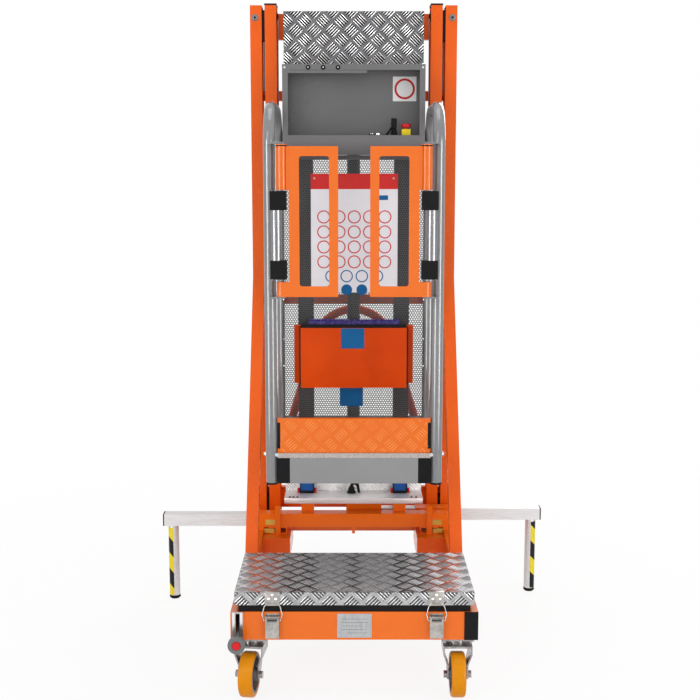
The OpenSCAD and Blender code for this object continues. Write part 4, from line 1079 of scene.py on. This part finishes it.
# ---------------------------------------------------- stick wire
# A thin wire in a black nylon sleeve slants up beside the stick's boot. It is held
# by the stick and tips with it.
wire_half = 0.025
bm = bmesh.new()
wire_centre = (0.1152, control_y + 0.021, 1.5665)
drum(bm, wire_centre, (0.026, 0, 0.036), 0.0034, 0.0028, -wire_half, wire_half, 12)
piece("stick_wire", bm, nylon, "joystick", "control_black")


# ---------------------------------------------------- buffers
# Blue rubber buffers sit on the cover at the mast's foot, in black frames moulded
# from nylon. A red stud holds each frame on either side.
buffer_blue = coating("buffer_blue", (0.012, 0.110, 0.420), (0.008, 0.080, 0.320), 0.42, 0.08)
coat(buffer_blue, "buffers")
buffer_low, buffer_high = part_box("buffers")
frame_wall = 0.003
cheek_deep = (buffer_low.y - 0.004, buffer_high.y + 0.001)
cheek_tall = (buffer_low.z, buffer_high.z - 0.004)
bar_deep = (buffer_low.y - 0.006, buffer_low.y - 0.001)
bm = bmesh.new()
for side in (-1, 1):
    x0, x1 = beside(side, 0.136, 0.184)
    block(bm, (x0, x0 + frame_wall), cheek_deep, cheek_tall, 0.0008)
    block(bm, (x1 - frame_wall, x1), cheek_deep, cheek_tall, 0.0008)
    block(bm, (x0, x1), bar_deep, (buffer_low.z, buffer_low.z + 0.008), 0.0008)
piece("buffer_frames", bm, nylon, "chassis", "black_plastic")
bm = bmesh.new()
for side in (-1, 1):
    for x in (0.1315, 0.1885):
        foot = (side * x, buffer_low.y + 0.006, buffer_low.z)
        screw(bm, foot, upwards, 0.0046, 0.0150, 16)
piece("buffer_studs", bm, red_plastic, "chassis", "stop_red")


# ---------------------------------------------------- cable gland
# A cable leaves the cover through a black nylon gland, screwed in between the
# buffers, and bends straight back down behind it.
gland_x, gland_y, gland_top = -0.007, buffer_low.y + 0.004, 0.367
cable_radius, bend_radius = 0.0048, 0.0110
bm = bmesh.new()
for r0, r1, low, high in (
    (0.0150, 0.0150, 0.345, 0.350), (0.0120, 0.0110, 0.350, 0.362),
    (0.0085, 0.0080, 0.362, gland_top),
):
    drum(bm, (gland_x, gland_y, 0), upwards, r0, r1, low, high, 24)
bend = bmesh.ops.create_circle(bm, segments=14, radius=cable_radius)["verts"]
bmesh.ops.translate(bm, verts=bend, vec=(gland_x, gland_y, gland_top))
turned = bmesh.ops.spin(
    bm, geom=list({e for v in bend for e in v.link_edges}),
    cent=(gland_x + bend_radius, gland_y, gland_top), axis=(0, 1, 0), angle=pi, steps=16,
)["geom_last"]
drop = bmesh.ops.extrude_edge_only(bm, edges=only(BMEdge, turned))["geom"]
bmesh.ops.translate(bm, verts=only(BMVert, drop), vec=(0.004, 0, -0.0210))
bmesh.ops.remove_doubles(bm, verts=bm.verts[:], dist=0.00002)
bmesh.ops.recalc_face_normals(bm, faces=bm.faces[:])
piece("cable_gland", bm, nylon, "chassis", "black_plastic")


# ---------------------------------------------------- base fittings
# Small plain yellow plates are fixed to the arm guides. Black bolts hold the cover
# down, and a strip of satin aluminium edges its front.
yellow_plate = coating("yellow_zinc", (0.72, 0.50, 0.10), (0.60, 0.38, 0.06), 0.4, 0.05)
guide_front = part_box("arm_guides")[0].y
plate_deep = (guide_front + 0.0065, guide_front + 0.0078)
blocks("yellow_plates", yellow_plate, "chassis", "zinc_steel", [
    (beside(side, near, far), plate_deep, tall)
    for side in (-1, 1)
    for near, far, tall in ((0.264, 0.296, (0.262, 0.280)), (0.266, 0.300, (0.234, 0.249)))
], 0.0003, 1, smooth=0)
bm = bmesh.new()
for x in (-0.216, -0.203, -0.190, 0.196, 0.212):
    screw(bm, (x, cover_low.y + 0.010, 0.3450), upwards, 0.0030, 0.003)
piece("cover_bolts", bm, nylon, "chassis", "control_black", smooth=0)
strip_deep = (cover_low.y - 0.0015, cover_low.y)
strip_tall = (cover_low.z - 0.002, cover_low.z + 0.017)
blocks("cover_edge", satin_alloy, "chassis", "tread_aluminium", (
    ((cover_low.x, cover_high.x), strip_deep, strip_tall),
), 0.0005)
